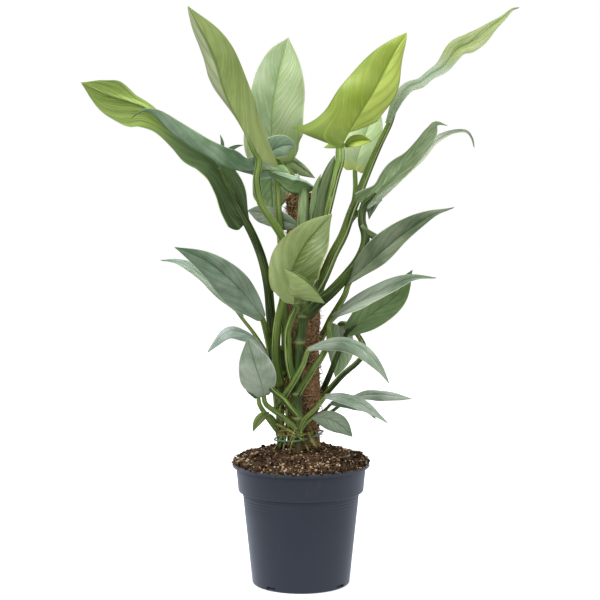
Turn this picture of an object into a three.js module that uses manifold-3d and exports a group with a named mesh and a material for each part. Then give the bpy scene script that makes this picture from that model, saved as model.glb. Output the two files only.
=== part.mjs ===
// A potted silver queen philodendron: three leafy stems round a coir pole, in a plastic nursery pot.
// Millimetres, +Z up. The origin is the middle of the pot's foot, on the floor, and -Y is the front.
import * as THREE from "three";
import { mergeVertices } from "three/addons/utils/BufferGeometryUtils.js";
import Module from "manifold-3d";

const wasm = await Module();
wasm.setup();

// Pot
const potHeight = 151;
const lipRadius = 85;
const lipDrop = 4.4;
const collarTop = [80.3, 147.2];
const collarFoot = [77.6, 117];
const shoulder = [72.5, 115.6];
const footRadius = 60.5;
const footRing = 6;
const footRise = 2.4;
const wall = 1.6;
const potSides = 36;
const slotCount = 4;
const slotTurn = -37.3;
const slotWidth = 13.6;
const slotHeight = 3.6;
const slotFoot = 1.9;
const slotDepth = 3.5;

// Soil and pole
const gap = 0.3;
const soilEdge = 83;
const soilLump = 1.6;
const poleRadius = 19.2;
const poleLump = 0.7;
const poleBulge = 1.6;
const bulgePitch = 86;
const bulgeTop = 247;
const poleDome = 4;
const poleFoot = 14;
const poleTop = 484;
const poleFootCenter = [3.5, 6];
const poleTopCenter = [2, 6];
const poleSides = 12;
const poleRows = 22;
const soilTop = [[83.3, 2.5], [78, 5], [66, 8.5], [48, 11.5], [27, 13.8], [0, 15]];

// Plant
const bladeThickness = 1;
const clearance = gap + 0.05;
const nodeSwell = 1.4;
const nodeReach = 5;
const stemSides = 7;
const stemRows = 18;
const stalkSides = 5;
const stalkRowLength = 26;
const stalkThick = [4.2, 2.9];
const keelShare = 0.14;
const keelTip = 0.35;
const sheathRows = 7;
const flareShare = 0.25;
const lobePower = 1.4;
const tieRadius = 1.1;
const tieSides = 5;
const tieRows = 24;
const tiePath = [
  [-4, -33.5, 183], [-22, -23, 181], [-32.5, -6, 180], [-27, 17, 180], [-8, 37, 181], [14, 44, 183],
  [27, 30, 185], [25.5, 6, 187], [16, -20, 186],
];

const colors = {
  pot: 0x3e4450,
  soil: 0x3c281c,
  coir: 0x6b4026,
  stem: 0x5f8228,
  silver: 0x7a9484,
  pale: 0x9fb58c,
  lime: 0xa5be3c,
  olive: 0x92a35c,
  dark: 0x50693f,
  tie: 0x2f7a3a,
};

// Each stem runs through its points and swells at each node's height. thick is the radius at the foot and
// the head. Its sheaths are pointed green husks.
const stems = {
  stem_front: {
    thick: [4.9, 6.4],
    path: [[-2, -25, 121], [-3, -26, 195], [-4, -26, 220], [-5, -26, 240], [-4, -26, 272],
      [-2, -25, 304], [4, -24, 337], [9, -22, 369]],
    nodes: [190, 211, 241, 304, 336],
    sheaths: [
      {
        path: [[5, -23, 354], [1, -28, 401], [2, -29, 446], [3, -28, 476], [4, -26, 495]],
        thick: [7, 5.4],
      },
      {
        path: [[11, -22, 357], [13, -24, 437], [15, -24, 469], [18, -23, 490], [24, -21, 507]],
        thick: [5, 3.4],
      },
      {
        path: [[11, -22, 359], [17, -25, 427], [22, -23, 467], [27, -18, 490], [34, -11, 510],
          [41, -5, 529]],
        thick: [8, 5.6],
      },
      {
        path: [[74, -15, 444], [79, -18, 438], [86, -18, 433], [93, -17, 429]],
        thick: [3.6, 5.2],
      },
    ],
  },
  stem_left: {
    thick: [4.9, 5.2],
    path: [[-23, -4, 117], [-25, -5, 189], [-26, -6, 219], [-26, -6, 244], [-25, -7, 269],
      [-22, -9, 298]],
    nodes: [187, 218, 234, 264],
  },
  stem_back: {
    thick: [4.9, 5.6],
    path: [[14, 34, 119], [15, 35, 198], [15, 36, 243], [15, 36, 314], [13, 36, 359]],
    nodes: [188, 221, 261, 313, 343],
  },
};

// A leaf's rib runs from its base to its tip as x, y, z and a roll in degrees, which is 0 where the upper
// face looks to the front. wide, lobe, flare, fold and curl are for the left and right half seen on
// that face: half width, how far the lobe reaches back, its extra width, and the bends towards the face,
// fold at even steps from base to tip. span gives the half widths at even steps instead of wide. extras
// are smaller blades grown together with the leaf.
const small = [8, 4];
const leaves = {
  leaf_tall_left: {
    on: "stem_left", color: "olive", thick: [5.2, 4.4],
    stalk: [[-26, -8, 249], [-30, -18, 278], [-30, -25, 306], [-27, -28, 333], [-21, -29, 360],
      [-18, -33, 394], [-22, -37, 428], [-35, -39, 451], [-48, -41, 472], [-53, -41, 500]],
    rib: [[-50, -38, 522, 0], [-66, -38, 552, 5], [-90, -32, 600, 10], [-107, -24, 651, 10],
      [-136, -18, 708, 10]],
    wide: [35, 38], belly: 0.5, start: 0.55, lobe: [6, 26], curl: [-10, -10],
    fold: [[-125, -30], [-115, -30], [-92, -25], [-72, -20], [-62, -14], [-50, -8]],
  },
  leaf_back_tall: {
    on: "stem_back", color: "pale", thick: [4.8, 3.4],
    stalk: [[14, 36, 344], [9, 36, 412], [3, 36, 458], [-2, 38, 487], [-14, 41, 509]],
    rib: [[-30, 44, 520, 0], [-36, 47, 549, 0], [-36, 54, 586, 0], [-30, 68, 624, 0], [-23, 82, 654, 0],
      [-16, 92, 679, 0]],
    span: [[33.7, 30], [35.8, 38.2], [33.3, 40], [30.1, 39.5], [29.5, 37.5], [25.8, 30.7], [17.9, 18.7],
      [0, 0]],
    fold: [[4, 4], [6, 6], [7, 7], [9, 9], [10, 10], [12, 12], [12, 12]],
    belly: 0.3, lobe: [6, 4],
    extras: [
      {
        rib: [[-21, 45, 529, 12], [-9, 44, 521, 12], [5, 42, 511, 12], [18, 40, 501, 12]],
        span: [[6.4, 15.3], [6.4, 14.2], [5.6, 11.1], [3.7, 6.5], [0, 0]],
        fold: [[0, 0], [0, 0], [0, 0], [0, 0], [0, 0]], belly: 0.2, lobe: [0, 0], grid: [5, 4],
      },
    ],
  },
  leaf_lime: {
    on: "stem_front", color: "lime", thick: [8.4, 5.4], keel: 0.05,
    stalk: [[7, -21, 357], [15, -22, 397], [22, -22, 431], [30, -21, 461], [36, -17, 484],
      [42, -11, 506], [47, -6, 521]],
    rib: [[48, 0, 537, 0], [65, 2, 569, 0], [89, 8, 608, 0], [113, 18, 653, 0], [130, 26, 680, 0]],
    wide: [38, 34], belly: 0.34, start: 0.92, tip: 0.88, lobe: [8, 8], flare: [30, 6],
    fold: [[-4, -120], [-4, -95], [-5, -42], [-6, -34], [-6, -30], [-7, -26], [-8, -22]],
  },
  leaf_far_right: {
    on: "stem_front", color: "pale", grid: [13, 4], thick: [7.6, 3.9],
    stalk: [[6, -21, 344], [16, -16, 362], [27, -11, 381], [39, 0, 408], [52, 10, 432], [62, 20, 459],
      [72, 27, 483], [83, 33, 510], [96, 37, 540]],
    rib: [[108, 40, 570, -50], [121, 45, 598, -50], [133, 50, 613, -50], [149, 55, 620, -48],
      [162, 60, 630, -45], [178, 66, 640, -42], [195, 74, 661, -40], [211, 80, 670, -40],
      [226, 86, 680, -40], [242, 92, 693, -40], [257, 98, 704, -40], [269, 103, 715, -40],
      [279, 106, 718, -40]],
    span: [[3.7, 6.6], [7.6, 12.6], [9.1, 15.1], [8.1, 13.7], [7.3, 11.9], [10, 14.9], [12.6, 18.2],
      [14.2, 20.7], [13.5, 20.2], [9.8, 14.6], [6.2, 9.1], [3.1, 4.7], [0, 0]],
    fold: [[14, 14], [14, 14], [14, 14], [14, 14], [14, 14], [14, 14], [14, 14]],
    belly: 0.2, lobe: [3, 3],
  },
  leaf_right_upper: {
    on: "stem_front", color: "dark", grid: [13, 6], thick: [7.4, 4.6],
    stalk: [[7, -25, 337], [21, -28, 351], [36, -29, 364], [54, -27, 383], [69, -24, 402],
      [77, -21, 420], [78, -17, 434], [74, -11, 450]],
    rib: [[76, -6, 470, -160], [86, -9, 480, -160], [96, -12, 491, -160], [108, -16, 502, -160],
      [120, -20, 514, -160], [132, -26, 528, -160], [144, -32, 544, -158], [154, -38, 558, -155],
      [161, -42, 567, -150], [176, -46, 564, -150]],
    span: [[2.6, 18.6], [5, 14.6], [7.2, 8.7], [9.2, 13], [11.1, 15.8], [12.4, 14.8], [12.3, 10.8],
      [12.6, 9], [11.9, 7.8], [9.3, 7.1], [2.6, 3.6], [0, 0]],
    fold: [[-5, -5], [-7, -7], [-10, -8], [-11, -8], [-14, -10], [-15, -15], [-15, -15]],
    belly: 0.2, lobe: [0, 5],
  },
  leaf_right_curled: {
    on: "stem_back", color: "silver", thick: [5, 3.4],
    stalk: [[15, 36, 334], [25, 36, 366], [37, 34, 397], [51, 32, 427], [63, 28, 451], [73, 24, 460]],
    rib: [[80, 22, 465, -40], [103, 32, 483, -40], [127, 40, 505, -45], [149, 50, 526, -45],
      [166, 60, 544, -50], [183, 66, 555, -50], [198, 70, 560, -55], [210, 74, 559, -60],
      [217, 77, 550, -60], [220, 79, 539, -60]],
    span: [[5.8, 5], [6.7, 5.7], [7.5, 6.4], [8.6, 6.9], [8.8, 7.1], [9, 7.1], [10, 7], [7.6, 5.5],
      [4.1, 3.8], [2.7, 4.7], [0, 0]],
    fold: [[5, 5], [8, 8], [10, 10], [10, 10], [10, 10], [10, 10], [10, 10]],
    belly: 0.2, lobe: [0, 0],
    extras: [
      {
        rib: [[93, 27, 481, 20], [89, 26, 469, 20], [87, 25, 460, 20], [84, 24, 450, 20]],
        span: [[10.4, 10.4], [8.3, 10], [5.6, 8.2], [2.5, 4.5], [0, 0]],
        fold: [[0, 0], [0, 0], [0, 0], [0, 0], [0, 0]], belly: 0.2, lobe: [0, 0], grid: [5, 4],
      },
    ],
  },
  leaf_right_mid: {
    on: "stem_back", color: "silver",
    stalk: [[16, 36, 286], [25, 26, 303], [30, 8, 314], [36, -6, 329], [44, -20, 344], [53, -29, 361]],
    rib: [[56, -30, 376, -40], [83, -40, 401, -40], [117, -58, 432, -40], [151, -78, 457, -50],
      [179, -94, 469, -60]],
    wide: [21, 18], belly: 0.36, start: 0.3, lobe: [4, 0], fold: [[14, 14], [14, 14]], tip: 1.25,
    thick: [5, 3.4],
  },
  leaf_right_long: {
    on: "stem_front", color: "silver",
    stalk: [[-4, -27, 240], [5, -32, 255], [16, -34, 273], [27, -32, 289], [34, -29, 306],
      [34, -26, 324]],
    rib: [[39, -22, 334, -45], [65, -28, 350, -45], [90, -36, 364, -45], [129, -50, 382, -50],
      [162, -60, 384, -60]],
    wide: [11, 16], belly: 0.4, start: 0.3, lobe: [2, 2], fold: [[12, 12], [16, 16]], thick: [4.6, 3],
  },
  leaf_right_under: {
    on: "stem_back", color: "dark",
    stalk: [[15, 36, 217], [25, 28, 233], [34, 14, 254], [45, 8, 283], [53, 8, 302]],
    rib: [[56, 8, 312, -165], [85, 12, 333, -165], [117, 14, 357, -165], [138, 14, 389, -165]],
    wide: [20, 24], belly: 0.42, start: 0.45, lobe: [0, 0], fold: [[-10, -10], [-10, -10]],
  },
  leaf_back_hanging: {
    on: "stem_back", color: "dark", grid: small,
    stalk: [[15, 36, 218], [24, 24, 227], [32, 10, 237], [51, -2, 260], [71, -10, 279], [78, 2, 293],
      [66, 20, 313], [54, 26, 321]],
    rib: [[48, 30, 318, 0], [50, 35, 294, 0], [48, 35, 272, 0], [43, 33, 252, 0]],
    wide: [17, 17], belly: 0.4, start: 0.6, lobe: [8, 8], fold: [[10, 10], [10, 10]], thick: [4.6, 3],
  },
  leaf_arching_right: {
    on: "stem_left", color: "silver",
    stalk: [[-25, -9, 227], [-19, -26, 238], [-8, -39, 257], [2, -43, 276]],
    rib: [[8, -36, 296, -35], [30, -46, 304, -30], [53, -58, 307, -30], [75, -72, 299, -30],
      [93, -86, 281, -25], [104, -94, 261, -20]],
    wide: [7, 13], belly: 0.5, start: 0.25, lobe: [2, 2], fold: [[-6, -6], [-10, -10]],
    thick: [4.6, 3.2],
  },
  leaf_low_right: {
    on: "stem_front", color: "silver", grid: small, thick: [3.6, 2.5],
    stalk: [[-2, -27, 194], [4, -33, 209], [15, -35, 220], [24, -33, 230]],
    rib: [[29, -30, 238, -45], [53, -42, 237, -45], [78, -58, 229, -40], [104, -74, 211, -40]],
    wide: [9, 9], belly: 0.4, start: 0.35, lobe: [2, 2], fold: [[-8, -8], [-10, -10]],
  },
  leaf_low_hidden: {
    on: "stem_back", color: "silver", grid: small, thick: [2.8, 2],
    stalk: [[15, 34, 203], [24, 25, 208], [31, 14, 215]],
    rib: [[37, 6, 224, -60], [61, 4, 223, -60], [80, 0, 217, -60], [93, -4, 205, -60]],
    wide: [9, 9], belly: 0.4, start: 0.35, lobe: [3, 3], fold: [[-8, -8], [-8, -8]],
  },
  leaf_low_back: {
    on: "stem_back", color: "silver", grid: small, thick: [2.8, 2],
    stalk: [[15, 34, 197], [29, 29, 204], [39, 23, 211], [50, 20, 220]],
    rib: [[61, 22, 227, -65], [86, 34, 230, -65], [115, 48, 227, -60], [142, 60, 221, -60]],
    wide: [12, 12], belly: 0.4, start: 0.35, lobe: [3, 3], fold: [[-5, -5], [-8, -8]],
  },
  leaf_bottom_right: {
    on: "stem_front", color: "silver", grid: small, thick: [2.8, 2], stalk: [[-2, -27, 192], [7, -34, 205]],
    rib: [[15, -38, 213, -35], [33, -46, 212, -30], [49, -56, 205, -25], [62, -64, 193, -20]],
    wide: [13, 13], belly: 0.45, start: 0.35, lobe: [0, 0], fold: [[-6, -6], [-8, -8]],
  },
  leaf_left_round: {
    on: "stem_front", color: "silver", thick: [4, 2.8],
    stalk: [[-3, -26, 195], [-16, -30, 207], [-30, -32, 218], [-43, -31, 228]],
    rib: [[-45, -30, 238, 5], [-48, -40, 255, 5], [-56, -52, 282, 5], [-64, -62, 313, 5]],
    wide: [24, 21], belly: 0.4, start: 0.45, lobe: [0, 0], fold: [[8, 8], [8, 8]],
  },
  leaf_left_droop: {
    on: "stem_left", color: "dark", grid: small, thick: [2.6, 1.8], stalk: [[-27, -8, 195], [-34, -14, 208]],
    rib: [[-39, -18, 214, 30], [-46, -22, 212, 30], [-53, -25, 205, 25], [-59, -28, 193, 20]],
    wide: [6, 6], belly: 0.4, start: 0.4, lobe: [2, 2], fold: [[8, 8], [8, 8]],
  },
  leaf_left_behind: {
    on: "stem_left", color: "dark", grid: small, thick: [3.8, 2.6],
    stalk: [[-25, -5, 187], [-33, -2, 196], [-43, 3, 209], [-51, 6, 221]],
    rib: [[-53, 8, 231, 0], [-58, 12, 248, 0], [-64, 16, 270, 0]],
    wide: [13, 13], belly: 0.4, start: 0.4, lobe: [3, 3], fold: [[5, 5], [5, 5]],
  },
  leaf_left_big: {
    on: "stem_left", color: "silver", thick: [4.6, 3.4],
    stalk: [[-28, -7, 220], [-34, -2, 259], [-38, -4, 289], [-43, -18, 316]],
    rib: [[-46, -32, 333, 20], [-63, -42, 357, 20], [-83, -60, 381, 20], [-112, -84, 406, 20],
      [-147, -106, 423, 25]],
    wide: [26, 17], belly: 0.36, start: 0.35, lobe: [0, 0], fold: [[6, 6], [6, 6]],
  },
  leaf_left_lower: {
    on: "stem_left", color: "silver", thick: [3.2, 2.2],
    stalk: [[-28, -4, 232], [-38, 8, 275], [-54, 12, 304]],
    rib: [[-72, 14, 330, 60], [-94, 24, 352, 60], [-126, 38, 381, 60], [-152, 50, 395, 65],
      [-178, 60, 398, 70]],
    wide: [14, 16], belly: 0.4, start: 0.2, lobe: [0, 0], fold: [[6, 6], [6, 6]],
  },
  leaf_left_arching: {
    on: "stem_front", color: "silver", thick: [4.4, 3.2],
    stalk: [[-4, -27, 213], [-12, -33, 223], [-23, -36, 237], [-35, -35, 247], [-41, -28, 258],
      [-39, -19, 269]],
    rib: [[-35, -14, 274, 70], [-48, -24, 296, 75], [-66, -38, 314, 60], [-89, -54, 318, 40],
      [-112, -68, 295, 30]],
    wide: [13, 8], belly: 0.55, start: 0.4, lobe: [3, 3], fold: [[-5, -5], [-5, -5]],
  },
  leaf_left_under: {
    on: "stem_left", color: "dark", grid: [14, 6], thick: [6.6, 5],
    stalk: [[-27, -5, 238], [-33, -5, 297], [-37, -4, 331], [-40, -1, 365], [-46, 3, 396],
      [-55, 8, 422]],
    rib: [[-66, 14, 448, 162], [-78, 18, 468, 162], [-89, 22, 491, 164], [-101, 28, 514, 166],
      [-118, 34, 531, 168], [-138, 38, 541, 170], [-165, 42, 561, 172], [-190, 44, 586, 172],
      [-213, 46, 596, 170], [-238, 48, 603, 168], [-256, 48, 611, 165], [-274, 48, 620, 160]],
    span: [[3.7, 27.9], [14.9, 26.2], [18.2, 22], [16.2, 21.3], [13.7, 22.5], [12.8, 21.9], [12.4, 15.3],
      [11.1, 13.9], [8, 24.8], [10.5, 30.4], [21.7, 26.7], [15.3, 15.6], [0, 0]],
    fold: [[15, 10], [20, 5], [42, 0], [47, 0], [22, 0], [1, 0], [0, 0]],
    belly: 0.25, lobe: [0, 5],
  },
  leaf_left_long: {
    on: "stem_left", color: "silver", thick: [5, 4],
    stalk: [[-18, -12, 292], [-20, -14, 323], [-21, -16, 354], [-23, -18, 397], [-25, -20, 433],
      [-28, -20, 469]],
    rib: [[-30, -10, 508, 40], [-47, -8, 513, 35], [-66, -6, 510, 30], [-84, -6, 513, 25],
      [-97, -7, 518, 20], [-114, -10, 528, 15], [-134, -14, 539, 12], [-157, -22, 556, 10],
      [-177, -32, 577, 10], [-189, -38, 581, 10], [-202, -44, 573, 10]],
    span: [[7.4, 12.6], [18.6, 20.6], [14, 19.6], [16, 25.3], [15.5, 22.4], [13.7, 20.1], [12.1, 20.8],
      [10.8, 19.7], [9.4, 17], [7.6, 11.5], [2.7, 2.9], [0, 0]],
    fold: [[-30, 0], [-110, 0], [-150, 0], [-150, 0], [-150, 0], [-150, 0], [-150, 0]],
    belly: 0.2, lobe: [0, 0],
    extras: [
      {
        rib: [[-57, -6, 516, 0], [-46, -3, 527, 0], [-35, 3, 535, 0], [-23, 8, 541, 0],
          [-13, 12, 542, 0], [-7, 14, 538, 0]],
        span: [[7.3, 4.9], [12.1, 5.8], [15.7, 8.4], [15.8, 11.6], [11.4, 12.1], [0, 0]],
        fold: [[0, 0], [0, 0], [0, 0], [0, 0], [0, 0], [0, 0]],
        belly: 0.2, lobe: [0, 0], grid: [5, 4],
      },
      {
        rib: [[-40, -12, 510, -60], [-27, -14, 498, -75], [-15, -16, 487, -80], [-2, -16, 484, -80],
          [10, -15, 486, -80], [21, -14, 489, -80]],
        span: [[2.6, 15], [13.8, 11.3], [23.9, 15.3], [26.8, 19.8], [19.5, 14.7], [0, 0]],
        fold: [[40, 40], [44, 56], [48, 63], [50, 65], [46, 61], [40, 40]],
        belly: 0.2, lobe: [0, 0], grid: [5, 4],
      },
    ],
  },
  leaf_back_left: {
    on: "stem_front", color: "silver", grid: small, thick: [3.4, 2.4],
    stalk: [[6, -24, 359], [8, -29, 391], [7, -30, 421], [1, -27, 439]],
    rib: [[-5, -23, 445, -15], [-17, -20, 449, -15], [-34, -8, 455, -15], [-51, 4, 460, -10],
      [-66, 12, 462, -10]],
    span: [[4.9, 3.9], [11.3, 9.9], [12.6, 10.4], [13, 9.9], [11.1, 7.7], [0, 0]],
    fold: [[5, 5], [5, 5], [5, 5], [5, 5], [5, 5], [5, 5]],
    belly: 0.3, lobe: [2, 2],
  },
  leaf_back_right: {
    on: "stem_back", color: "pale", thick: [4.2, 2.9],
    stalk: [[16, 36, 334], [28, 42, 371], [40, 46, 403], [53, 48, 429], [63, 50, 458], [68, 52, 484]],
    rib: [[68, 56, 511, 0], [72, 62, 530, 0], [80, 72, 552, 0], [89, 84, 575, 0], [96, 94, 596, 0]],
    span: [[17.6, 13.8], [21.3, 19.9], [21.6, 22.1], [19.3, 19.9], [13.3, 13.3], [0, 0]],
    fold: [[3, 3], [4, 4], [5, 5], [5, 5], [5, 5], [5, 5]],
    belly: 0.3, lobe: [5, 5],
  },
  leaf_center_cupped: {
    on: "stem_front", color: "olive", thick: [5.4, 4.2],
    stalk: [[-9, -26, 259], [-14, -31, 275], [-16, -35, 295], [-16, -38, 317], [-11, -46, 335],
      [-5, -60, 349]],
    rib: [[-7, -69, 353, 0], [-11, -70, 388, 0], [1, -70, 418, 0], [19, -62, 441, 0], [37, -56, 460, 0]],
    wide: [31, 37], belly: 0.4, start: 0.7, lobe: [-8, 0], fold: [[12, 24], [20, 24]], curl: [16, 16],
    extras: [
      {
        rib: [[28, -84, 356, 0], [12, -92, 377, 0], [-6, -94, 391, 0], [-20, -90, 397, 0]],
        wide: [27, 2], belly: 0.5, start: 0.1, lobe: [0, 0], fold: [[-12, 0], [-12, 0]], curl: [-20, 0],
        grid: [5, 4],
      },
    ],
  },
  leaf_back_low: {
    on: "stem_back", color: "dark", grid: small, thick: [3.6, 2.6],
    stalk: [[14, 36, 344], [5, 37, 412], [-1, 38, 447], [-12, 41, 492], [-21, 41, 514], [-30, 38, 526]],
    rib: [[-37, 33, 516, 0], [-37, 33, 499, 0], [-36, 33, 480, 0], [-35, 33, 466, 0], [-35, 32, 454, 0]],
    span: [[22.4, 18.6], [24.8, 22.3], [24.4, 23.7], [21.5, 22.8], [11.6, 14], [0, 0]],
    fold: [[5, 5], [6, 6], [6, 6], [6, 6], [6, 6], [6, 6]],
    belly: 0.3, lobe: [5, 5],
  },
};

const front = new THREE.Vector3(0, -1, 0);
const plant = new THREE.Group();

function add(name, color, solid, roughness = 0.6) {
  const { vertProperties, triVerts } = solid.getMesh();
  const geometry = new THREE.BufferGeometry();
  geometry.setAttribute("position", new THREE.BufferAttribute(vertProperties, 3));
  geometry.setIndex(new THREE.BufferAttribute(triVerts, 1));
  geometry.computeVertexNormals();
  const material = new THREE.MeshStandardMaterial({ color, roughness, metalness: 0 });
  const mesh = new THREE.Mesh(geometry, material);
  mesh.name = name;
  plant.add(mesh);
}

function solidOf(geometry) {
  geometry.deleteAttribute("normal");
  geometry.deleteAttribute("uv");
  const merged = mergeVertices(geometry, 1e-4);
  return new wasm.Manifold(new wasm.Mesh({
    numProp: 3,
    vertProperties: merged.attributes.position.array,
    triVerts: new Uint32Array(merged.index.array),
  }));
}

function indexed(positions, triangles) {
  const geometry = new THREE.BufferGeometry();
  geometry.setAttribute("position", new THREE.Float32BufferAttribute(positions, 3));
  geometry.setIndex(triangles);
  return geometry;
}

function smoothPath(points) {
  const places = points.map(([x, y, z]) => new THREE.Vector3(x, y, z));
  return new THREE.CatmullRomCurve3(places, false, "catmullrom", 0.5);
}

// A round bar along a path, its radius a function of the share of the way along.
function bar(path, radiusAt, sides, steps, closed = false) {
  const { normals, binormals } = path.computeFrenetFrames(steps, closed);
  const positions = [];
  const triangles = [];
  const rings = closed ? steps : steps + 1;
  for (let i = 0; i < rings; i++) {
    const center = path.getPointAt(i / steps);
    for (let k = 0; k < sides; k++) {
      const angle = (2 * Math.PI * k) / sides;
      const radius = radiusAt(i / steps, angle);
      const point = center.clone();
      point.addScaledVector(normals[i], radius * Math.cos(angle));
      point.addScaledVector(binormals[i], radius * Math.sin(angle));
      positions.push(...point);
    }
  }
  for (let i = 0; i < steps; i++) {
    for (let k = 0; k < sides; k++) {
      const a = i * sides + k;
      const b = i * sides + ((k + 1) % sides);
      const c = ((i + 1) % rings) * sides + k;
      const d = ((i + 1) % rings) * sides + ((k + 1) % sides);
      triangles.push(a, b, d, a, d, c);
    }
  }
  if (!closed) {
    const last = steps * sides;
    for (let k = 1; k < sides - 1; k++) triangles.push(0, k + 1, k, last, last + k, last + k + 1);
  }
  return solidOf(indexed(positions, triangles));
}

// The share of a leaf's full half width at the share u of its length.
function outline({ belly, start, tip = 1 }, u) {
  if (u < belly) return start + (1 - start) * Math.sin((Math.PI / 2) * (u / belly));
  return Math.cos((Math.PI / 2) * ((u - belly) / (1 - belly))) ** tip;
}

function halfWidth(leaf, u, half) {
  if (leaf.span) {
    const spans = smoothPath(leaf.span.map((pair) => [...pair, 0]));
    return Math.max(spans.getPoint(u).getComponent(half), 0);
  }
  const { wide, flare = [0, 0] } = leaf;
  return wide[half] * outline(leaf, u) + flare[half] * Math.max(0, 1 - u / flareShare) ** 2;
}

function ribFrame(leaf, u) {
  const path = smoothPath(leaf.rib);
  const t = path.getUtoTmapping(u);
  const rolls = smoothPath(leaf.rib.map((point) => [point[3], 0, 0]));
  const roll = THREE.MathUtils.degToRad(rolls.getPoint(t).x);
  const along = path.getTangent(t);
  const face = front.clone().addScaledVector(along, -front.dot(along)).normalize();
  face.applyAxisAngle(along, roll);
  const side = along.clone().cross(face);
  return { center: path.getPoint(t), along, face, side };
}

// A point of the blade's middle surface, v from -1 at the left edge to 1 at the right edge.
function bladePoint(leaf, frame, u, v, grow) {
  const half = v < 0 ? 0 : 1;
  const { lobe, fold, belly, curl = [0, 0] } = leaf;
  const reach = Math.abs(v);
  const width = halfWidth(leaf, u, half) + grow;
  const back = u < belly ? lobe[half] * reach ** lobePower * (1 - u / belly) ** 2 : 0;
  const place = u * (fold.length - 1);
  const station = Math.min(Math.floor(place), fold.length - 2);
  const bend = THREE.MathUtils.lerp(fold[station][half], fold[station + 1][half], place - station);
  const angle = THREE.MathUtils.degToRad(bend + (curl[half] * reach) / 2);
  const point = frame.center.clone();
  point.addScaledVector(frame.side, Math.sign(v) * width * reach * Math.cos(angle));
  point.addScaledVector(frame.face, width * reach * Math.sin(angle));
  point.addScaledVector(frame.along, -back);
  return point;
}

// A blade is a thin closed shell on a grid of rows along the rib and columns across it.
function blade(leaf, grow = 0) {
  const [rows, columns] = leaf.grid ?? [11, 6];
  const grid = [];
  for (let i = 0; i < rows; i++) {
    const u = i / rows;
    const frame = ribFrame(leaf, u);
    if (i === 0) frame.center.addScaledVector(frame.along, -grow);
    const row = [];
    for (let j = 0; j <= columns; j++) row.push(bladePoint(leaf, frame, u, (2 * j) / columns - 1, grow));
    grid.push(row);
  }
  const end = ribFrame(leaf, 1);
  end.center.addScaledVector(end.along, grow);
  const half = bladeThickness / 2 + grow;
  const points = [];
  const normals = [];
  for (let i = 0; i < rows; i++) {
    for (let j = 0; j <= columns; j++) {
      const ahead = i + 1 < rows ? grid[i + 1][j] : end.center;
      const behind = grid[Math.max(i - 1, 0)][j];
      const along = ahead.clone().sub(behind);
      const across = grid[i][Math.min(j + 1, columns)].clone().sub(grid[i][Math.max(j - 1, 0)]);
      points.push(grid[i][j]);
      normals.push(across.cross(along).normalize());
    }
  }
  points.push(end.center);
  normals.push(end.face);
  const count = points.length;
  const positions = [];
  for (const sign of [1, -1]) {
    points.forEach((point, k) => positions.push(...point.clone().addScaledVector(normals[k], sign * half)));
  }
  const at = (i, j) => (i < rows ? i * (columns + 1) + j : count - 1);
  const triangles = [];
  const bothFaces = (a, b, c) => triangles.push(a, b, c, count + a, count + c, count + b);
  const wallAlong = (a, b) => triangles.push(b, a, count + a, b, count + a, count + b);
  for (let i = 0; i < rows; i++) {
    for (let j = 0; j < columns; j++) {
      const [a, b, c, d] = [at(i, j), at(i, j + 1), at(i + 1, j), at(i + 1, j + 1)];
      if (i === rows - 1) {
        bothFaces(a, b, c);
      } else if (j < columns / 2) {
        bothFaces(a, b, c);
        bothFaces(b, d, c);
      } else {
        bothFaces(a, b, d);
        bothFaces(a, d, c);
      }
    }
    wallAlong(at(i, columns), at(i + 1, columns));
    wallAlong(at(i + 1, 0), at(i, 0));
  }
  for (let j = 0; j < columns; j++) wallAlong(at(0, j), at(0, j + 1));
  return solidOf(indexed(positions, triangles));
}

// A stalk runs from the stem to the back of its blade, and tapers away under the rib.
function stalk(leaf) {
  const { keel = keelShare, thick: [foot, head] = stalkThick } = leaf;
  const points = [...leaf.stalk];
  for (const share of [0, 0.5, 1]) {
    const { center, face } = ribFrame(leaf, share * keel);
    const radius = head * THREE.MathUtils.lerp(1, keelTip, share);
    points.push([...center.addScaledVector(face, -(radius + bladeThickness / 2 + clearance))]);
  }
  const path = smoothPath(points);
  const neck = 1 - (keel * smoothPath(leaf.rib).getLength()) / path.getLength();
  const radiusAt = (s) => (s < neck
    ? THREE.MathUtils.lerp(foot, head, s / neck)
    : head * THREE.MathUtils.lerp(1, keelTip, (s - neck) / (1 - neck)));
  return bar(path, radiusAt, stalkSides, Math.max(6, Math.round(path.getLength() / stalkRowLength)));
}

function sheath({ path, thick: [foot, head] }) {
  const radiusAt = (s) => (s < 1 ? THREE.MathUtils.lerp(foot, head, s ** 3) : head * keelTip);
  return bar(smoothPath(path), radiusAt, stalkSides, sheathRows);
}

function largest(solid) {
  return solid.decompose().sort((a, b) => b.volume() - a.volume())[0];
}

function stem({ path, nodes, thick: [foot, head] }, grow = 0) {
  const curve = smoothPath(path);
  const low = path[0][2];
  const high = path[path.length - 1][2];
  const radiusAt = (s) => {
    const z = low + (high - low) * s;
    const near = Math.min(...nodes.map((node) => Math.abs(node - z)));
    const radius = THREE.MathUtils.lerp(foot, head, s) + grow;
    return radius + nodeSwell * Math.max(0, 1 - near / nodeReach);
  };
  return bar(curve, radiusAt, stemSides, stemRows);
}

const potWall = [
  [footRadius, 1.6], shoulder, [collarFoot[0] - 0.4, collarFoot[1] - 0.7], collarFoot, collarTop,
  [lipRadius - 1.2, collarTop[1] + 0.4], [lipRadius - 0.6, potHeight - lipDrop],
  [lipRadius, potHeight - lipDrop + 0.8], [lipRadius, potHeight - 0.9], [lipRadius - 0.9, potHeight],
];
const potInside = [
  [collarTop[0] - 0.6, potHeight], [collarTop[0] - wall, potHeight - 1.4],
  [collarFoot[0] - wall, collarFoot[1] + 1.2], [shoulder[0] - wall + 0.4, shoulder[1] + 1.2],
  [shoulder[0] - wall - 0.5, shoulder[1] - 3], [footRadius - wall + 0.3, footRise + wall + 0.6],
];

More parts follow.
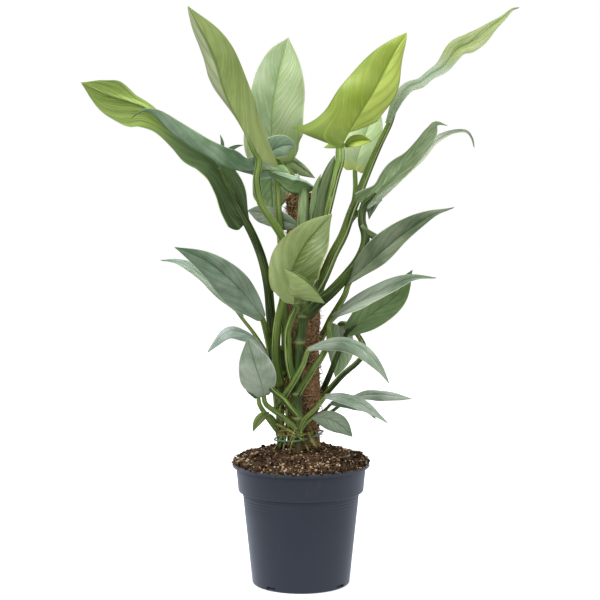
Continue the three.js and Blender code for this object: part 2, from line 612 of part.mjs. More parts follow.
function turned(profile) {
  const geometry = new THREE.LatheGeometry(profile.map(([r, z]) => new THREE.Vector2(r, z)), potSides);
  geometry.rotateX(Math.PI / 2);
  return geometry;
}

function pot() {
  let solid = solidOf(turned([
    [0, footRise], [footRadius - footRing - 1, footRise], [footRadius - footRing, 0], [footRadius - 1.7, 0],
    ...potWall, ...potInside, [footRadius - wall - 0.6, footRise + wall], [0, footRise + wall],
  ]));
  for (let k = 0; k < slotCount; k++) {
    const slot = new THREE.BoxGeometry(slotWidth, 2 * slotDepth, slotHeight);
    slot.translate(0, -footRadius, slotFoot + slotHeight / 2);
    slot.rotateZ(THREE.MathUtils.degToRad(slotTurn + (360 * k) / slotCount));
    solid = solid.subtract(solidOf(slot));
  }
  return solid;
}

function soil(holes) {
  const geometry = turned([
    [0, footRise + wall + gap], [footRadius - wall - 1, footRise + wall + gap],
    ...[...potInside].reverse().map(([r, z]) => [r - gap - 0.1, z + gap]),
    [soilEdge, potHeight + gap], ...soilTop.map(([r, rise]) => [r, potHeight + rise]),
  ]);
  const place = geometry.attributes.position;
  for (let i = 0; i < place.count; i++) {
    const [x, y, z] = [place.getX(i), place.getY(i), place.getZ(i)];
    const lump = Math.sin(x / 7.3 + 1) * Math.cos(y / 8.1) + 0.7 * Math.sin(x / 3.9 - y / 4.7);
    if (z > potHeight + 3) place.setZ(i, z + soilLump * lump);
  }
  let solid = solidOf(geometry);
  for (const hole of holes) solid = solid.subtract(hole);
  return solid;
}

function pole(grow = 0) {
  const path = smoothPath([[...poleFootCenter, poleFoot], [...poleTopCenter, poleTop]]);
  const radiusAt = (s, angle) => {
    const dome = s < 1 ? 0 : poleDome;
    const z = THREE.MathUtils.lerp(poleFoot, poleTop, s);
    const bulge = poleBulge * Math.cos((2 * Math.PI * (z - bulgeTop)) / bulgePitch);
    const lump = poleLump * Math.sin(3 * angle + 23 * s) * Math.cos(5 * angle - 41 * s);
    return poleRadius + grow - dome + bulge + lump;
  };
  return bar(path, radiusAt, poleSides, poleRows);
}

function tie() {
  const path = smoothPath(tiePath);
  path.closed = true;
  return bar(path, () => tieRadius, tieSides, tieRows, true);
}

const grownBlades = Object.values(leaves).map((leaf) => blade(leaf, clearance));
for (const { extras = [] } of Object.values(leaves)) {
  for (const extra of extras) grownBlades.push(blade(extra, clearance));
}
for (const [name, shape] of Object.entries(stems)) {
  let solid = stem(shape);
  for (const leaf of Object.values(leaves).filter(({ on }) => on === name)) solid = solid.add(stalk(leaf));
  for (const husk of shape.sheaths ?? []) solid = solid.add(sheath(husk));
  for (const grown of grownBlades) solid = solid.subtract(grown);
  add(name, colors.stem, largest(solid));
}
for (const [name, leaf] of Object.entries(leaves)) {
  let solid = blade(leaf);
  for (const extra of leaf.extras ?? []) solid = solid.add(blade(extra));
  add(name, colors[leaf.color], solid);
}
add("coir_pole", colors.coir, pole(), 0.95);
add("pot", colors.pot, pot(), 0.5);
const stemHoles = Object.values(stems).map((shape) => stem(shape, clearance));
add("soil", colors.soil, soil([pole(clearance), ...stemHoles]), 1);
add("plant_tie", colors.tie, tie(), 0.5);

export default plant;
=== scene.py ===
import bisect
import math
import random

import bmesh
import bpy
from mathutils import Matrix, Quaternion, Vector, noise


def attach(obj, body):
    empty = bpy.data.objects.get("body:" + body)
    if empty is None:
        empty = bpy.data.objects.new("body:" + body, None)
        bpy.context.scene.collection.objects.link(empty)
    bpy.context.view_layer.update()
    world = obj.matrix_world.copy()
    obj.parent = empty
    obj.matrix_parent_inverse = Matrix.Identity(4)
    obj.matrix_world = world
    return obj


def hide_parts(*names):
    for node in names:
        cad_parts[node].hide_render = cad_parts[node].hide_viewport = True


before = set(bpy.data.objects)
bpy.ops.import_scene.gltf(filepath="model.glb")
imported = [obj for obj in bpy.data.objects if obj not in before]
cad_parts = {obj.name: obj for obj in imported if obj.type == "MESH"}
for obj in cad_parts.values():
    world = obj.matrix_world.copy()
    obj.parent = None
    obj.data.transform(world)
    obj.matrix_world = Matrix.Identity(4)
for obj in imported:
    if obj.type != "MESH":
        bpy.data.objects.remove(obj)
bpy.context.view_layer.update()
# A millimetre in metres, how near corners melt together, and the side the photograph was taken from
mm = 0.001
weld = 1e-6
front = Vector((0, -1, 0))
print("frame loaded:", len(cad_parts), "nodes")

# The photograph's view of the pot and plant, in pixels, millimetres and degrees
photo = {"width": 600, "focalPixels": 1611, "sensor": 36, "side": -1.2, "distance": 1972, "height": 517.6,
         "downTilt": 4.79}


def placeCamera():
    data = bpy.data.cameras.new("camera")
    data.sensor_width = photo["sensor"]
    data.lens = photo["focalPixels"] / photo["width"] * photo["sensor"]
    camera = bpy.data.objects.new("camera", data)
    camera.location = Vector((photo["side"], -photo["distance"], photo["height"])) * mm
    camera.rotation_euler = (math.radians(90 - photo["downTilt"]), 0, 0)
    bpy.context.scene.collection.objects.link(camera)
    bpy.context.scene.camera = camera


placeCamera()
print("camera placed")


# A colour as it looks on a screen, red, green and blue from 0 to 255, made linear by the sRGB curve
def paint(red, green, blue):
    shares = [part / 255 for part in (red, green, blue)]
    return tuple(c / 12.92 if c < 0.04045 else ((c + 0.055) / 1.055) ** 2.4 for c in shares) + (1,)


# A socket that takes part in sums, so that 1 - mask adds its own Math node
class Wire:
    def __init__(self, finish, socket):
        self.finish = finish
        self.socket = socket

    def __add__(self, other):
        return self.finish.math("ADD", self, other)

    def __sub__(self, other):
        return self.finish.math("SUBTRACT", self, other)

    def __rsub__(self, other):
        return self.finish.math("SUBTRACT", other, self)

    def __mul__(self, other):
        return self.finish.math("MULTIPLY", self, other)

    def __truediv__(self, other):
        return self.finish.math("DIVIDE", self, other)

    def __pow__(self, other):
        return self.finish.math("POWER", self, other)

    def __gt__(self, other):
        return self.finish.math("GREATER_THAN", self, other)

    def __abs__(self):
        return self.finish.math("ABSOLUTE", self)

    __radd__ = __add__
    __rmul__ = __mul__


# A material being put together: node() adds any node, the rest are short forms of it
class Finish:
    def __init__(self, name, sockets):
        self.material = bpy.data.materials.new(name)
        self.material.use_nodes = True
        self.tree = self.material.node_tree
        self.shader = self.tree.nodes["Principled BSDF"]
        self.feed(self.shader, sockets)

    def feed(self, node, sockets):
        for key, value in sockets.items():
            if isinstance(value, Wire):
                self.tree.links.new(value.socket, node.inputs[key])
            else:
                node.inputs[key].default_value = value

    def node(self, kind, settings, sockets, out=0):
        made = self.tree.nodes.new(kind)
        for key, value in settings.items():
            setattr(made, key, value)
        self.feed(made, sockets)
        return Wire(self, made.outputs[out])

    def math(self, operation, *values):
        return self.node("ShaderNodeMath", {"operation": operation}, dict(enumerate(values)))

    def smooth(self, value, low, high):
        return self.node("ShaderNodeMapRange", {"interpolation_type": "SMOOTHSTEP"},
                         {"Value": value, "From Min": low, "From Max": high})

    def mix(self, share, first, second):
        return self.node("ShaderNodeMix", {"data_type": "RGBA"}, {0: share, 6: first, 7: second}, out=2)

    # Lays one colour after another over a skin, each with the share that it covers
    def lay(self, skin, layers):
        for share, colour in layers:
            skin = self.mix(share, skin, colour)
        return skin

    # The place on the object, squeezed by a factor for each axis
    def place(self, squeeze=(1, 1, 1)):
        spot = self.node("ShaderNodeTexCoord", {}, {}, out="Object")
        return self.node("ShaderNodeMapping", {}, {"Vector": spot, "Scale": squeeze})

    def height(self):
        return self.node("ShaderNodeSeparateXYZ", {}, {"Vector": self.place()}, out=2)

    # The share across and along of the grid that a piece was wrapped from
    def gridPlace(self):
        spot = self.node("ShaderNodeUVMap", {"uv_map": "UVMap"}, {})
        return [self.node("ShaderNodeSeparateXYZ", {}, {"Vector": spot}, out=axis) for axis in (0, 1)]

    def noise(self, place, scale, detail, roughness=0.5):
        return self.node("ShaderNodeTexNoise", {},
                         {"Vector": place, "Scale": scale, "Detail": detail, "Roughness": roughness})

    def tone(self):
        return self.node("ShaderNodeAttribute", {"attribute_name": "tone"}, {}, out="Fac")

    def bump(self, height, distance, strength):
        wire = self.node("ShaderNodeBump", {}, {"Height": height, "Distance": distance, "Strength": strength})
        self.feed(self.shader, {"Normal": wire})


# A smooth line through points, with its length shared out evenly
class Path:
    headingStep = 1e-4
    shortest = 1e-9

    def __init__(self, points, closed=False, marks=200):
        self.points = [Vector(point) for point in points]
        self.closed = closed
        places = [self.at(k / marks) for k in range(marks + 1)]
        self.marks = [0.0]
        for before, after in zip(places, places[1:]):
            self.marks.append(self.marks[-1] + (after - before).length)
        self.length = self.marks[-1]

    def at(self, t):
        count = len(self.points)
        spans = count if self.closed else count - 1
        place = min(max(t, 0), 1) * spans
        k = min(int(place), spans - 1)
        w = place - k
        if self.closed:
            a, b, c, d = (self.points[(k + step) % count] for step in (-1, 0, 1, 2))
        else:
            b, c = self.points[k], self.points[k + 1]
            a = self.points[k - 1] if k > 0 else 2 * b - c
            d = self.points[k + 2] if k + 2 < count else 2 * c - b
        leave, arrive = (c - a) / 2, (d - b) / 2
        square, cube = 3 * (c - b) - 2 * leave - arrive, 2 * (b - c) + leave + arrive
        return b + leave * w + square * w ** 2 + cube * w ** 3

    def share(self, u):
        goal = u * self.length
        spans = len(self.marks) - 1
        k = min(max(bisect.bisect_right(self.marks, goal) - 1, 0), spans - 1)
        return (k + (goal - self.marks[k]) / max(self.marks[k + 1] - self.marks[k], self.shortest)) / spans

    def spot(self, u):
        return self.at(self.share(u))

    def heading(self, t):
        ahead, behind = min(t + self.headingStep, 1), max(t - self.headingStep, 0)
        return (self.at(ahead) - self.at(behind)).normalized()


# Wraps a new grid round a shape: place(k, i) gives its corner k across and i along, in millimetres
def wrapGrid(bm, across, along, place, finish=0):
    made = bmesh.ops.create_grid(bm, x_segments=across, y_segments=along, size=0.5, calc_uvs=True)["verts"]
    for index, vert in enumerate(made):
        vert.co = place(index % (across + 1), index // (across + 1)) * mm
    for face in {face for vert in made for face in vert.link_faces}:
        face.material_index = finish
    bmesh.ops.remove_doubles(bm, verts=made, dist=weld)
    return [vert for vert in made if vert.is_valid]


# A closed tube along a path. radiusAt(share, angle) is in millimetres, and angle 0 is the side that looks
# towards "up" at the path's first point, or at its last one with fromEnd
def tube(bm, path, rings, sides, radiusAt, up, fromEnd=False, finish=0):
    spots = []
    normal = Vector(up)
    order = range(rings, -1, -1) if fromEnd else range(rings + 1)
    for ring in order:
        t = path.share(ring / rings)
        along = path.heading(t)
        normal = (normal - along * normal.dot(along)).normalized()
        spots.append((path.at(t), normal, along.cross(normal)))
    if fromEnd:
        spots.reverse()

    def place(k, i):
        ring = min(max(i - 1, 0), rings)
        center, upper, side = spots[ring]
        if i in (0, rings + 2):
            return center
        angle = 2 * math.pi * (k / sides - 0.5)
        radius = radiusAt(ring / rings, angle)
        return center + (upper * math.cos(angle) + side * math.sin(angle)) * radius

    return wrapGrid(bm, sides, rings + 2, place, finish)


def newBody():
    bm = bmesh.new()
    bm.loops.layers.uv.new("UVMap")
    bm.verts.layers.float.new("tone")
    return bm


def setTone(bm, verts, value):
    layer = bm.verts.layers.float["tone"]
    for vert in verts:
        vert[layer] = value


# Makes one small shape by itself and adds it to a body, which is quicker than making it there
def addSmall(bm, build, tone):
    small = newBody()
    build(small)
    setTone(small, small.verts, tone)
    small.to_mesh(spare)
    small.free()
    bm.from_mesh(spare)


spare = bpy.data.meshes.new("spare")


# Turns a bmesh into a piece that rides with the plant, with its faces made to look outwards where tidy is set
def finishPiece(name, bm, finishes, slot, *replaced, tidy=True):
    if tidy:
        bmesh.ops.recalc_face_normals(bm, faces=bm.faces)
    mesh = bpy.data.meshes.new(name)
    bm.to_mesh(mesh)
    bm.free()
    mesh.shade_smooth()
    for finish in finishes:
        mesh.materials.append(finish)
    piece = bpy.data.objects.new(name, mesh)
    bpy.context.scene.collection.objects.link(piece)
    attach(piece, "root")
    if replaced:
        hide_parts(*replaced)
    return piece


def lerp(low, high, share):
    return low + (high - low) * share


def bell(distance, width):
    return math.exp(-(distance / width) ** 2)


# Every stem runs through its points and swells at each node's height, in millimetres. "thick" is the radius
# at its foot and head. Its sheaths are pointed green husks: "shade" is how dark one is, and "tipShare" the
# share of its length that its tip takes.
stems = {
    "stem_front": {
        "thick": [4.9, 6.4],
        "path": [[-2, -25, 121], [-3, -26, 195], [-4, -26, 220], [-5, -26, 240], [-4, -26, 272],
            [-2, -25, 304], [4, -24, 337], [9, -22, 369]],
        "nodes": [190, 211, 241, 304, 336],
        "sheaths": [
            {
                "path": [[5, -23, 354], [1, -28, 401], [2, -28, 446], [3, -21, 474], [4, -13, 488],
                    [4, -9, 498]],
                "thick": [7, 5.4], "tipShare": 0.06,
            },
            {
                "path": [[11, -22, 357], [13, -24, 437], [15, -24, 469], [18, -23, 490], [24, -21, 507]],
                "thick": [5, 3.4],
            },
            {
                "path": [[11, -22, 359], [17, -25, 427], [22, -23, 467], [27, -18, 490], [34, -11, 510],
                    [41, -5, 529]],
                "thick": [8, 5.6], "shade": 1,
            },
            {
                "path": [[74, -15, 444], [79, -18, 438], [86, -18, 433], [93, -17, 429]],
                "thick": [3.6, 5.2], "shade": 0.7,
            },
        ],
    },
    "stem_left": {
        "thick": [4.9, 5.2],
        "path": [[-23, -4, 117], [-25, -5, 189], [-26, -6, 219], [-26, -6, 244], [-25, -7, 269],
            [-22, -9, 298]],
        "nodes": [187, 218, 234, 264],
        "sheaths": [
            {
                "path": [[-19, 0, 256], [-17, 4, 275], [-17, 6, 302], [-16, 6, 335], [-15, 4, 352]],
                "thick": [3.6, 3], "shade": 0.9,
            },
        ],
    },
    "stem_back": {
        "thick": [4.9, 5.6],
        "path": [[14, 34, 119], [15, 35, 198], [15, 36, 243], [15, 36, 314], [13, 36, 359]],
        "nodes": [188, 221, 261, 313, 343],
    },
}

# A leaf grows "on" a stem, by a stalk through the points of "stalk", and "thick" is the stalk's radius at its
# foot and head. "rib" runs from the leaf's base to its tip as x, y, z and a roll in degrees, which is 0 where
# the upper face looks to the front. Pairs are for the left and right half seen on that face: "wide" is the
# half width, and "span" gives it at even steps instead, "lobe" is how far the lobe reaches back and "flare"
# its extra width, "fold" and "curl" are the bends towards the face in degrees, fold at even steps from base
# to tip. "belly" is where along the rib the leaf is widest, "start" the share of that width at its base,
# "tip" how pointed and "corner" how round its ends are, "keel" the share of the rib under which the stalk
# runs on. "extras" are smaller blades grown together with the leaf. "finish" names its colours, its colour
# multiplier scales them, partly as the leaf's own tone and partly as painted light and shade, and "look"
# changes them.
leafDefaults = {"thick": (4.2, 2.9), "belly": 0.4, "start": 0.35, "tip": 1, "corner": 0.5, "keel": 0.14,
                "lobe": (0, 0), "flare": (0, 0), "curl": (0, 0), "fold": ((0, 0), (0, 0)), "tintAndShading": (1, 1, 1),
                "look": {}, "extras": ()}
leaves = {
    "leaf_tall_left": {
        "on": "stem_left", "tintAndShading": (0.89, 0.87, 0.78), "finish": "olive", "thick": [5.2, 4.4],
        "stalk": [[-26, -8, 249], [-30, -18, 278], [-30, -25, 306], [-27, -28, 333], [-21, -29, 360],
            [-18, -33, 394], [-22, -37, 428], [-35, -39, 451], [-48, -41, 472], [-53, -41, 500]],
        "rib": [[-50, -38, 522, 0], [-66, -38, 552, 5], [-90, -32, 600, 10], [-107, -24, 651, 10],
            [-136, -18, 708, 10]],
        "wide": [35, 38], "belly": 0.5, "start": 0.55, "lobe": [6, 26], "curl": [-10, -10],
        "fold": [[-125, -30], [-115, -30], [-92, -25], [-72, -20], [-62, -14], [-50, -8]],
        "look": {"half": (0.95, 0), "halfColourAndShading": paint(224, 240, 196), "foot": paint(160, 178, 116),
            "footEnd": 0.6},
    },
    "leaf_back_tall": {
        "on": "stem_back", "tintAndShading": (1.00, 0.92, 0.87), "finish": "pale", "thick": [4.8, 3.4],
        "stalk": [[14, 36, 344], [9, 36, 412], [3, 36, 458], [-2, 38, 487], [-14, 41, 509]],
        "rib": [[-30, 44, 520, 0], [-36, 47, 549, 0], [-36, 54, 586, 0], [-30, 68, 624, 0], [-23, 82, 654, 0],
            [-16, 92, 679, 0]],
        "span": [[33.7, 30], [35.8, 38.2], [33.3, 40], [30.1, 39.5], [29.5, 37.5], [25.8, 30.7], [17.9, 18.7],
            [0, 0]],
        "fold": [[4, 4], [6, 6], [7, 7], [9, 9], [10, 10], [12, 12], [12, 12]],
        "belly": 0.3, "lobe": [6, 4],
        "extras": [
            {
                "rib": [[-21, 45, 529, 12], [-9, 44, 521, 12], [5, 42, 511, 12], [18, 40, 501, 12]],
                "span": [[6.4, 15.3], [6.4, 14.2], [5.6, 11.1], [3.7, 6.5], [0, 0]],
                "belly": 0.2,
            },
        ],
        "look": {"foot": paint(168, 198, 128), "footEnd": 0.3, "half": (0, 0.6),
            "halfColourAndShading": paint(150, 178, 120), "veins": 0.8, "streaks": 0.6},
    },
    "leaf_lime": {
        "on": "stem_front", "finish": "lime", "thick": [8.4, 5.4], "keel": 0.05,
        "stalk": [[7, -21, 357], [15, -22, 397], [22, -22, 431], [30, -21, 461], [36, -17, 484],
            [42, -11, 506], [47, -6, 521]],
        "rib": [[48, 0, 537, 0], [65, 2, 569, 0], [89, 8, 608, 0], [113, 18, 653, 0], [130, 26, 680, 0]],
        "wide": [38, 34], "belly": 0.34, "start": 0.92, "tip": 0.88, "lobe": [8, 8], "flare": [30, 6],
        "fold": [[-4, -120], [-4, -95], [-5, -42], [-6, -34], [-6, -30], [-7, -26], [-8, -22]],
        "corner": 0.05,
        "extras": [
            {
                "rib": [[54, 12, 540, -20], [65, 16, 546, -20], [76, 19, 548, -20], [87, 22, 547, -20]],
                "wide": [8, 11], "start": 0.4, "fold": [[30, 30], [30, 30]],
            },
        ],
        "look": {"half": (0, 0.95), "halfColourAndShading": paint(228, 250, 122), "foot": paint(124, 148, 70),
            "footEnd": 0.22},
    },
    "leaf_far_right": {
        "on": "stem_front", "tintAndShading": (0.90, 0.76, 0.95), "finish": "pale", "thick": [7.6, 3.9],
        "stalk": [[6, -21, 344], [16, -16, 362], [27, -11, 381], [39, 0, 408], [52, 10, 432], [62, 20, 459],
            [72, 27, 483], [83, 33, 510], [96, 37, 540]],
        "rib": [[108, 40, 570, -50], [121, 45, 598, -50], [133, 50, 613, -50], [149, 55, 620, -48],
            [162, 60, 630, -45], [178, 66, 640, -42], [195, 74, 661, -40], [211, 80, 670, -40],
            [226, 86, 680, -40], [242, 92, 693, -40], [257, 98, 704, -40], [269, 103, 715, -40],
            [279, 106, 718, -40]],
        "span": [[3.7, 6.6], [7.6, 12.6], [9.1, 15.1], [8.1, 13.7], [7.3, 11.9], [10, 14.9], [12.6, 18.2],
            [14.2, 20.7], [13.5, 20.2], [9.8, 14.6], [6.2, 9.1], [3.1, 4.7], [0, 0]],
        "fold": [[14, 14], [14, 14]],
        "belly": 0.2, "lobe": [3, 3],
        "look": {"glow": (0.38, 0.52), "glowSkin": paint(136, 170, 76), "glowLight": paint(176, 198, 124),
            "fine": 0.5, "streaks": 0.3},
    },
    "leaf_right_upper": {
        "on": "stem_front", "tintAndShading": (3.90, 3.05, 4.00), "finish": "dark", "thick": [7.4, 4.6],
        "stalk": [[7, -25, 337], [21, -28, 351], [36, -29, 364], [54, -27, 383], [69, -24, 402],
            [77, -21, 420], [78, -17, 434], [74, -11, 450]],
        "rib": [[76, -6, 470, -160], [86, -9, 480, -160], [96, -12, 491, -160], [108, -16, 502, -160],
            [120, -20, 514, -160], [132, -26, 528, -160], [144, -32, 544, -158], [154, -38, 558, -155],
            [161, -42, 567, -150], [176, -46, 564, -150]],
        "span": [[2.6, 18.6], [5, 14.6], [7.2, 8.7], [9.2, 13], [11.1, 15.8], [12.4, 14.8], [12.3, 10.8],
            [12.6, 9], [11.9, 7.8], [9.3, 7.1], [2.6, 3.6], [0, 0]],
        "fold": [[-5, -5], [-7, -7], [-10, -8], [-11, -8], [-14, -10], [-15, -15], [-15, -15]],
        "belly": 0.2, "lobe": [0, 5],
        "look": {"streaks": 0.6, "fine": 0.8},
    },
    "leaf_right_curled": {
        "on": "stem_back", "tintAndShading": (1.85, 1.50, 1.48), "finish": "silver", "thick": [5, 3.4],
        "stalk": [[15, 36, 334], [25, 36, 366], [37, 34, 397], [51, 32, 427], [63, 28, 451], [73, 24, 460]],
        "rib": [[80, 22, 465, -40], [103, 32, 483, -40], [127, 40, 505, -45], [149, 50, 526, -45],
            [166, 60, 544, -50], [183, 66, 555, -50], [198, 70, 560, -55], [210, 74, 559, -60],
            [217, 77, 550, -60], [220, 79, 539, -60]],
        "span": [[5.8, 5], [6.7, 5.7], [7.5, 6.4], [8.6, 6.9], [8.8, 7.1], [9, 7.1], [10, 7], [7.6, 5.5],
            [4.1, 3.8], [2.7, 4.7], [0, 0]],
        "fold": [[5, 5], [8, 8], [10, 10], [10, 10], [10, 10], [10, 10], [10, 10]],
        "belly": 0.2,
        "extras": [
            {
                "rib": [[93, 27, 481, 20], [89, 26, 469, 20], [87, 25, 460, 20], [84, 24, 450, 20]],
                "span": [[10.4, 10.4], [8.3, 10], [5.6, 8.2], [2.5, 4.5], [0, 0]],
                "belly": 0.2,
            },
        ],
        "look": {"fine": 0.3, "streaks": 0.3},
    },
    "leaf_right_mid": {
        "on": "stem_back", "tintAndShading": (0.79, 0.71, 0.56), "finish": "silver",
        "stalk": [[16, 36, 286], [25, 26, 303], [30, 8, 314], [36, -6, 329], [44, -20, 344], [53, -29, 361]],
        "rib": [[56, -30, 376, -40], [83, -40, 401, -40], [117, -58, 432, -40], [151, -78, 457, -50],
            [179, -94, 469, -60]],
        "wide": [21, 18], "belly": 0.36, "start": 0.3, "lobe": [4, 0], "fold": [[14, 14], [14, 14]],
        "tip": 1.25,
        "thick": [5, 3.4],
        "look": {"fine": 0.6, "streaks": 0.4},
    },
    "leaf_right_long": {
        "on": "stem_front", "tintAndShading": (1.84, 1.60, 1.57), "finish": "silver",
        "stalk": [[-4, -27, 240], [5, -32, 255], [16, -34, 273], [27, -32, 289], [34, -29, 306],
            [34, -26, 324]],
        "rib": [[39, -22, 334, -45], [65, -28, 350, -45], [90, -36, 364, -45], [129, -50, 382, -50],
            [162, -60, 384, -60]],
        "wide": [11, 16], "start": 0.3, "lobe": [2, 2], "fold": [[12, 12], [16, 16]],
        "thick": [4.6, 3],
    },
    "leaf_right_under": {
        "on": "stem_back", "tintAndShading": (2.20, 1.98, 2.05), "finish": "dark",
        "stalk": [[15, 36, 217], [25, 28, 233], [34, 14, 254], [45, 8, 283], [53, 8, 302]],
        "rib": [[56, 8, 312, -165], [85, 12, 333, -165], [117, 14, 357, -165], [138, 14, 389, -165]],
        "wide": [20, 24], "belly": 0.42, "start": 0.45, "fold": [[-10, -10], [-10, -10]],
    },
    "leaf_back_hanging": {
        "on": "stem_back", "tintAndShading": (4.60, 3.90, 4.10), "finish": "dark",
        "stalk": [[15, 36, 218], [24, 24, 227], [32, 10, 237], [51, -2, 260], [71, -10, 279], [78, 2, 293],
            [66, 20, 313], [54, 26, 321]],
        "rib": [[48, 30, 318, 0], [50, 35, 294, 0], [48, 35, 272, 0], [43, 33, 252, 0]],
        "wide": [17, 17], "start": 0.6, "lobe": [8, 8], "fold": [[10, 10], [10, 10]],
        "thick": [4.6, 3],
    },
    "leaf_arching_right": {
        "on": "stem_left", "tintAndShading": (1.51, 1.32, 1.31), "finish": "silver",
        "stalk": [[-25, -9, 227], [-19, -26, 238], [-8, -39, 257], [2, -43, 276]],
        "rib": [[8, -36, 296, -35], [30, -46, 304, -30], [53, -58, 307, -30], [75, -72, 299, -30],
            [93, -86, 281, -25], [104, -94, 261, -20]],
        "wide": [7, 13], "belly": 0.5, "start": 0.25, "lobe": [2, 2], "fold": [[-6, -6], [-10, -10]],
        "thick": [4.6, 3.2],
    },
    "leaf_low_right": {
        "on": "stem_front", "tintAndShading": (2.10, 1.75, 1.90), "finish": "silver", "thick": [3.6, 2.5],
        "stalk": [[-2, -27, 194], [4, -33, 209], [15, -35, 220], [24, -33, 230]],
        "rib": [[29, -30, 238, -45], [53, -42, 237, -45], [78, -58, 229, -40], [104, -74, 211, -40]],
        "wide": [9, 9], "lobe": [2, 2], "fold": [[-8, -8], [-10, -10]],
    },
    "leaf_low_hidden": {
        "on": "stem_back", "finish": "silver", "thick": [2.8, 2],
        "stalk": [[15, 34, 203], [24, 25, 208], [31, 14, 215]],
        "rib": [[37, 6, 224, -60], [61, 4, 223, -60], [80, 0, 217, -60], [93, -4, 205, -60]],
        "wide": [9, 9], "lobe": [3, 3], "fold": [[-8, -8], [-8, -8]],
    },
    "leaf_low_back": {
        "on": "stem_back", "tintAndShading": (1.80, 1.50, 1.60), "finish": "silver", "thick": [2.8, 2],
        "stalk": [[15, 34, 197], [29, 29, 204], [39, 23, 211], [50, 20, 220]],
        "rib": [[61, 22, 227, -65], [86, 34, 230, -65], [115, 48, 227, -60], [142, 60, 221, -60]],
        "wide": [12, 12], "lobe": [3, 3], "fold": [[-5, -5], [-8, -8]],
    },
    "leaf_bottom_right": {
        "on": "stem_front", "tintAndShading": (0.72, 0.69, 0.59), "finish": "silver", "thick": [2.8, 2],
        "stalk": [[-2, -27, 192], [7, -34, 205]],
        "rib": [[15, -38, 213, -35], [33, -46, 212, -30], [49, -56, 205, -25], [62, -64, 193, -20]],
        "wide": [13, 13], "belly": 0.45, "fold": [[-6, -6], [-8, -8]],
    },
    "leaf_left_round": {
        "on": "stem_front", "tintAndShading": (2.40, 2.05, 2.05), "finish": "silver", "thick": [4, 2.8],
        "stalk": [[-3, -26, 195], [-16, -30, 207], [-30, -32, 218], [-43, -31, 228]],
        "rib": [[-45, -30, 238, 5], [-48, -40, 255, 5], [-56, -52, 282, 5], [-64, -62, 313, 5]],
        "wide": [24, 21], "start": 0.45, "fold": [[8, 8], [8, 8]],
        "look": {"streaks": 0.2, "shade": 0.12},
    },
    "leaf_left_droop": {
        "on": "stem_left", "tintAndShading": (0.92, 0.80, 0.40), "finish": "dark", "thick": [2.6, 1.8],
        "stalk": [[-27, -8, 195], [-34, -14, 208]],
        "rib": [[-39, -18, 214, 30], [-46, -22, 212, 30], [-53, -25, 205, 25], [-59, -28, 193, 20]],
        "wide": [6, 6], "start": 0.4, "lobe": [2, 2], "fold": [[8, 8], [8, 8]],
    },
    "leaf_left_behind": {
        "on": "stem_left", "finish": "dark", "thick": [3.8, 2.6],
        "stalk": [[-25, -5, 187], [-33, -2, 196], [-43, 3, 209], [-51, 6, 221]],
        "rib": [[-53, 8, 231, 0], [-58, 12, 248, 0], [-64, 16, 270, 0]],
        "wide": [13, 13], "start": 0.4, "lobe": [3, 3], "fold": [[5, 5], [5, 5]],
    },
    "leaf_left_big": {
        "on": "stem_left", "tintAndShading": (1.40, 1.34, 1.26), "finish": "silver", "thick": [4.6, 3.4],
        "stalk": [[-28, -7, 220], [-34, -2, 259], [-38, -4, 289], [-43, -18, 316]],
        "rib": [[-46, -32, 333, 20], [-63, -42, 357, 20], [-83, -60, 381, 20], [-112, -84, 406, 20],
            [-147, -106, 423, 25]],
        "wide": [26, 17], "belly": 0.36, "fold": [[6, 6], [6, 6]],
    },
    "leaf_left_lower": {
        "on": "stem_left", "tintAndShading": (1.40, 1.30, 1.30), "finish": "silver", "thick": [3.2, 2.2],
        "stalk": [[-28, -4, 232], [-38, 8, 275], [-54, 12, 304]],
        "rib": [[-72, 14, 330, 60], [-94, 24, 352, 60], [-126, 38, 381, 60], [-152, 50, 395, 65],
            [-178, 60, 398, 70]],
        "wide": [14, 16], "start": 0.2, "fold": [[6, 6], [6, 6]],
    },
    "leaf_left_arching": {
        "on": "stem_front", "tintAndShading": (2.40, 1.92, 2.38), "finish": "silver", "thick": [4.4, 3.2],
        "stalk": [[-4, -27, 213], [-12, -33, 223], [-23, -36, 237], [-35, -35, 247], [-41, -28, 258],
            [-39, -19, 269]],
        "rib": [[-35, -14, 274, 70], [-48, -24, 296, 75], [-66, -38, 314, 60], [-89, -54, 318, 40],
            [-112, -68, 295, 30]],
        "wide": [13, 8], "belly": 0.55, "start": 0.4, "lobe": [3, 3], "fold": [[-5, -5], [-5, -5]],
    },
    "leaf_left_under": {
        "on": "stem_left", "tintAndShading": (1.31, 1.28, 1.03), "finish": "dark", "thick": [6.6, 5],
        "stalk": [[-27, -5, 238], [-33, -5, 297], [-37, -4, 331], [-40, -1, 365], [-46, 3, 396],
            [-55, 8, 422]],
        "rib": [[-66, 14, 448, 162], [-78, 18, 468, 162], [-89, 22, 491, 164], [-101, 28, 514, 166],
            [-118, 34, 531, 168], [-138, 38, 541, 170], [-165, 42, 561, 172], [-190, 44, 586, 172],
            [-213, 46, 596, 170], [-238, 48, 603, 168], [-256, 48, 611, 165], [-274, 48, 620, 160]],
        "span": [[3.7, 27.9], [14.9, 26.2], [18.2, 22], [16.2, 21.3], [13.7, 22.5], [12.8, 21.9],
            [12.4, 15.3], [11.1, 13.9], [8, 24.8], [10.5, 30.4], [21.7, 26.7], [15.3, 15.6], [0, 0]],
        "fold": [[15, 10], [20, 5], [42, 0], [47, 0], [22, 0], [1, 0], [0, 0]],
        "belly": 0.25, "lobe": [0, 5], "keel": 0.27,
        "look": {"foot": paint(38, 54, 25), "footEnd": 0.64, "glow": (0.5, 0.68),
            "glowSkin": paint(132, 162, 70), "glowLight": paint(176, 196, 128)},
    },
    "leaf_left_long": {
        "on": "stem_left", "tintAndShading": (1.26, 1.28, 1.10), "finish": "silver", "thick": [5, 4],
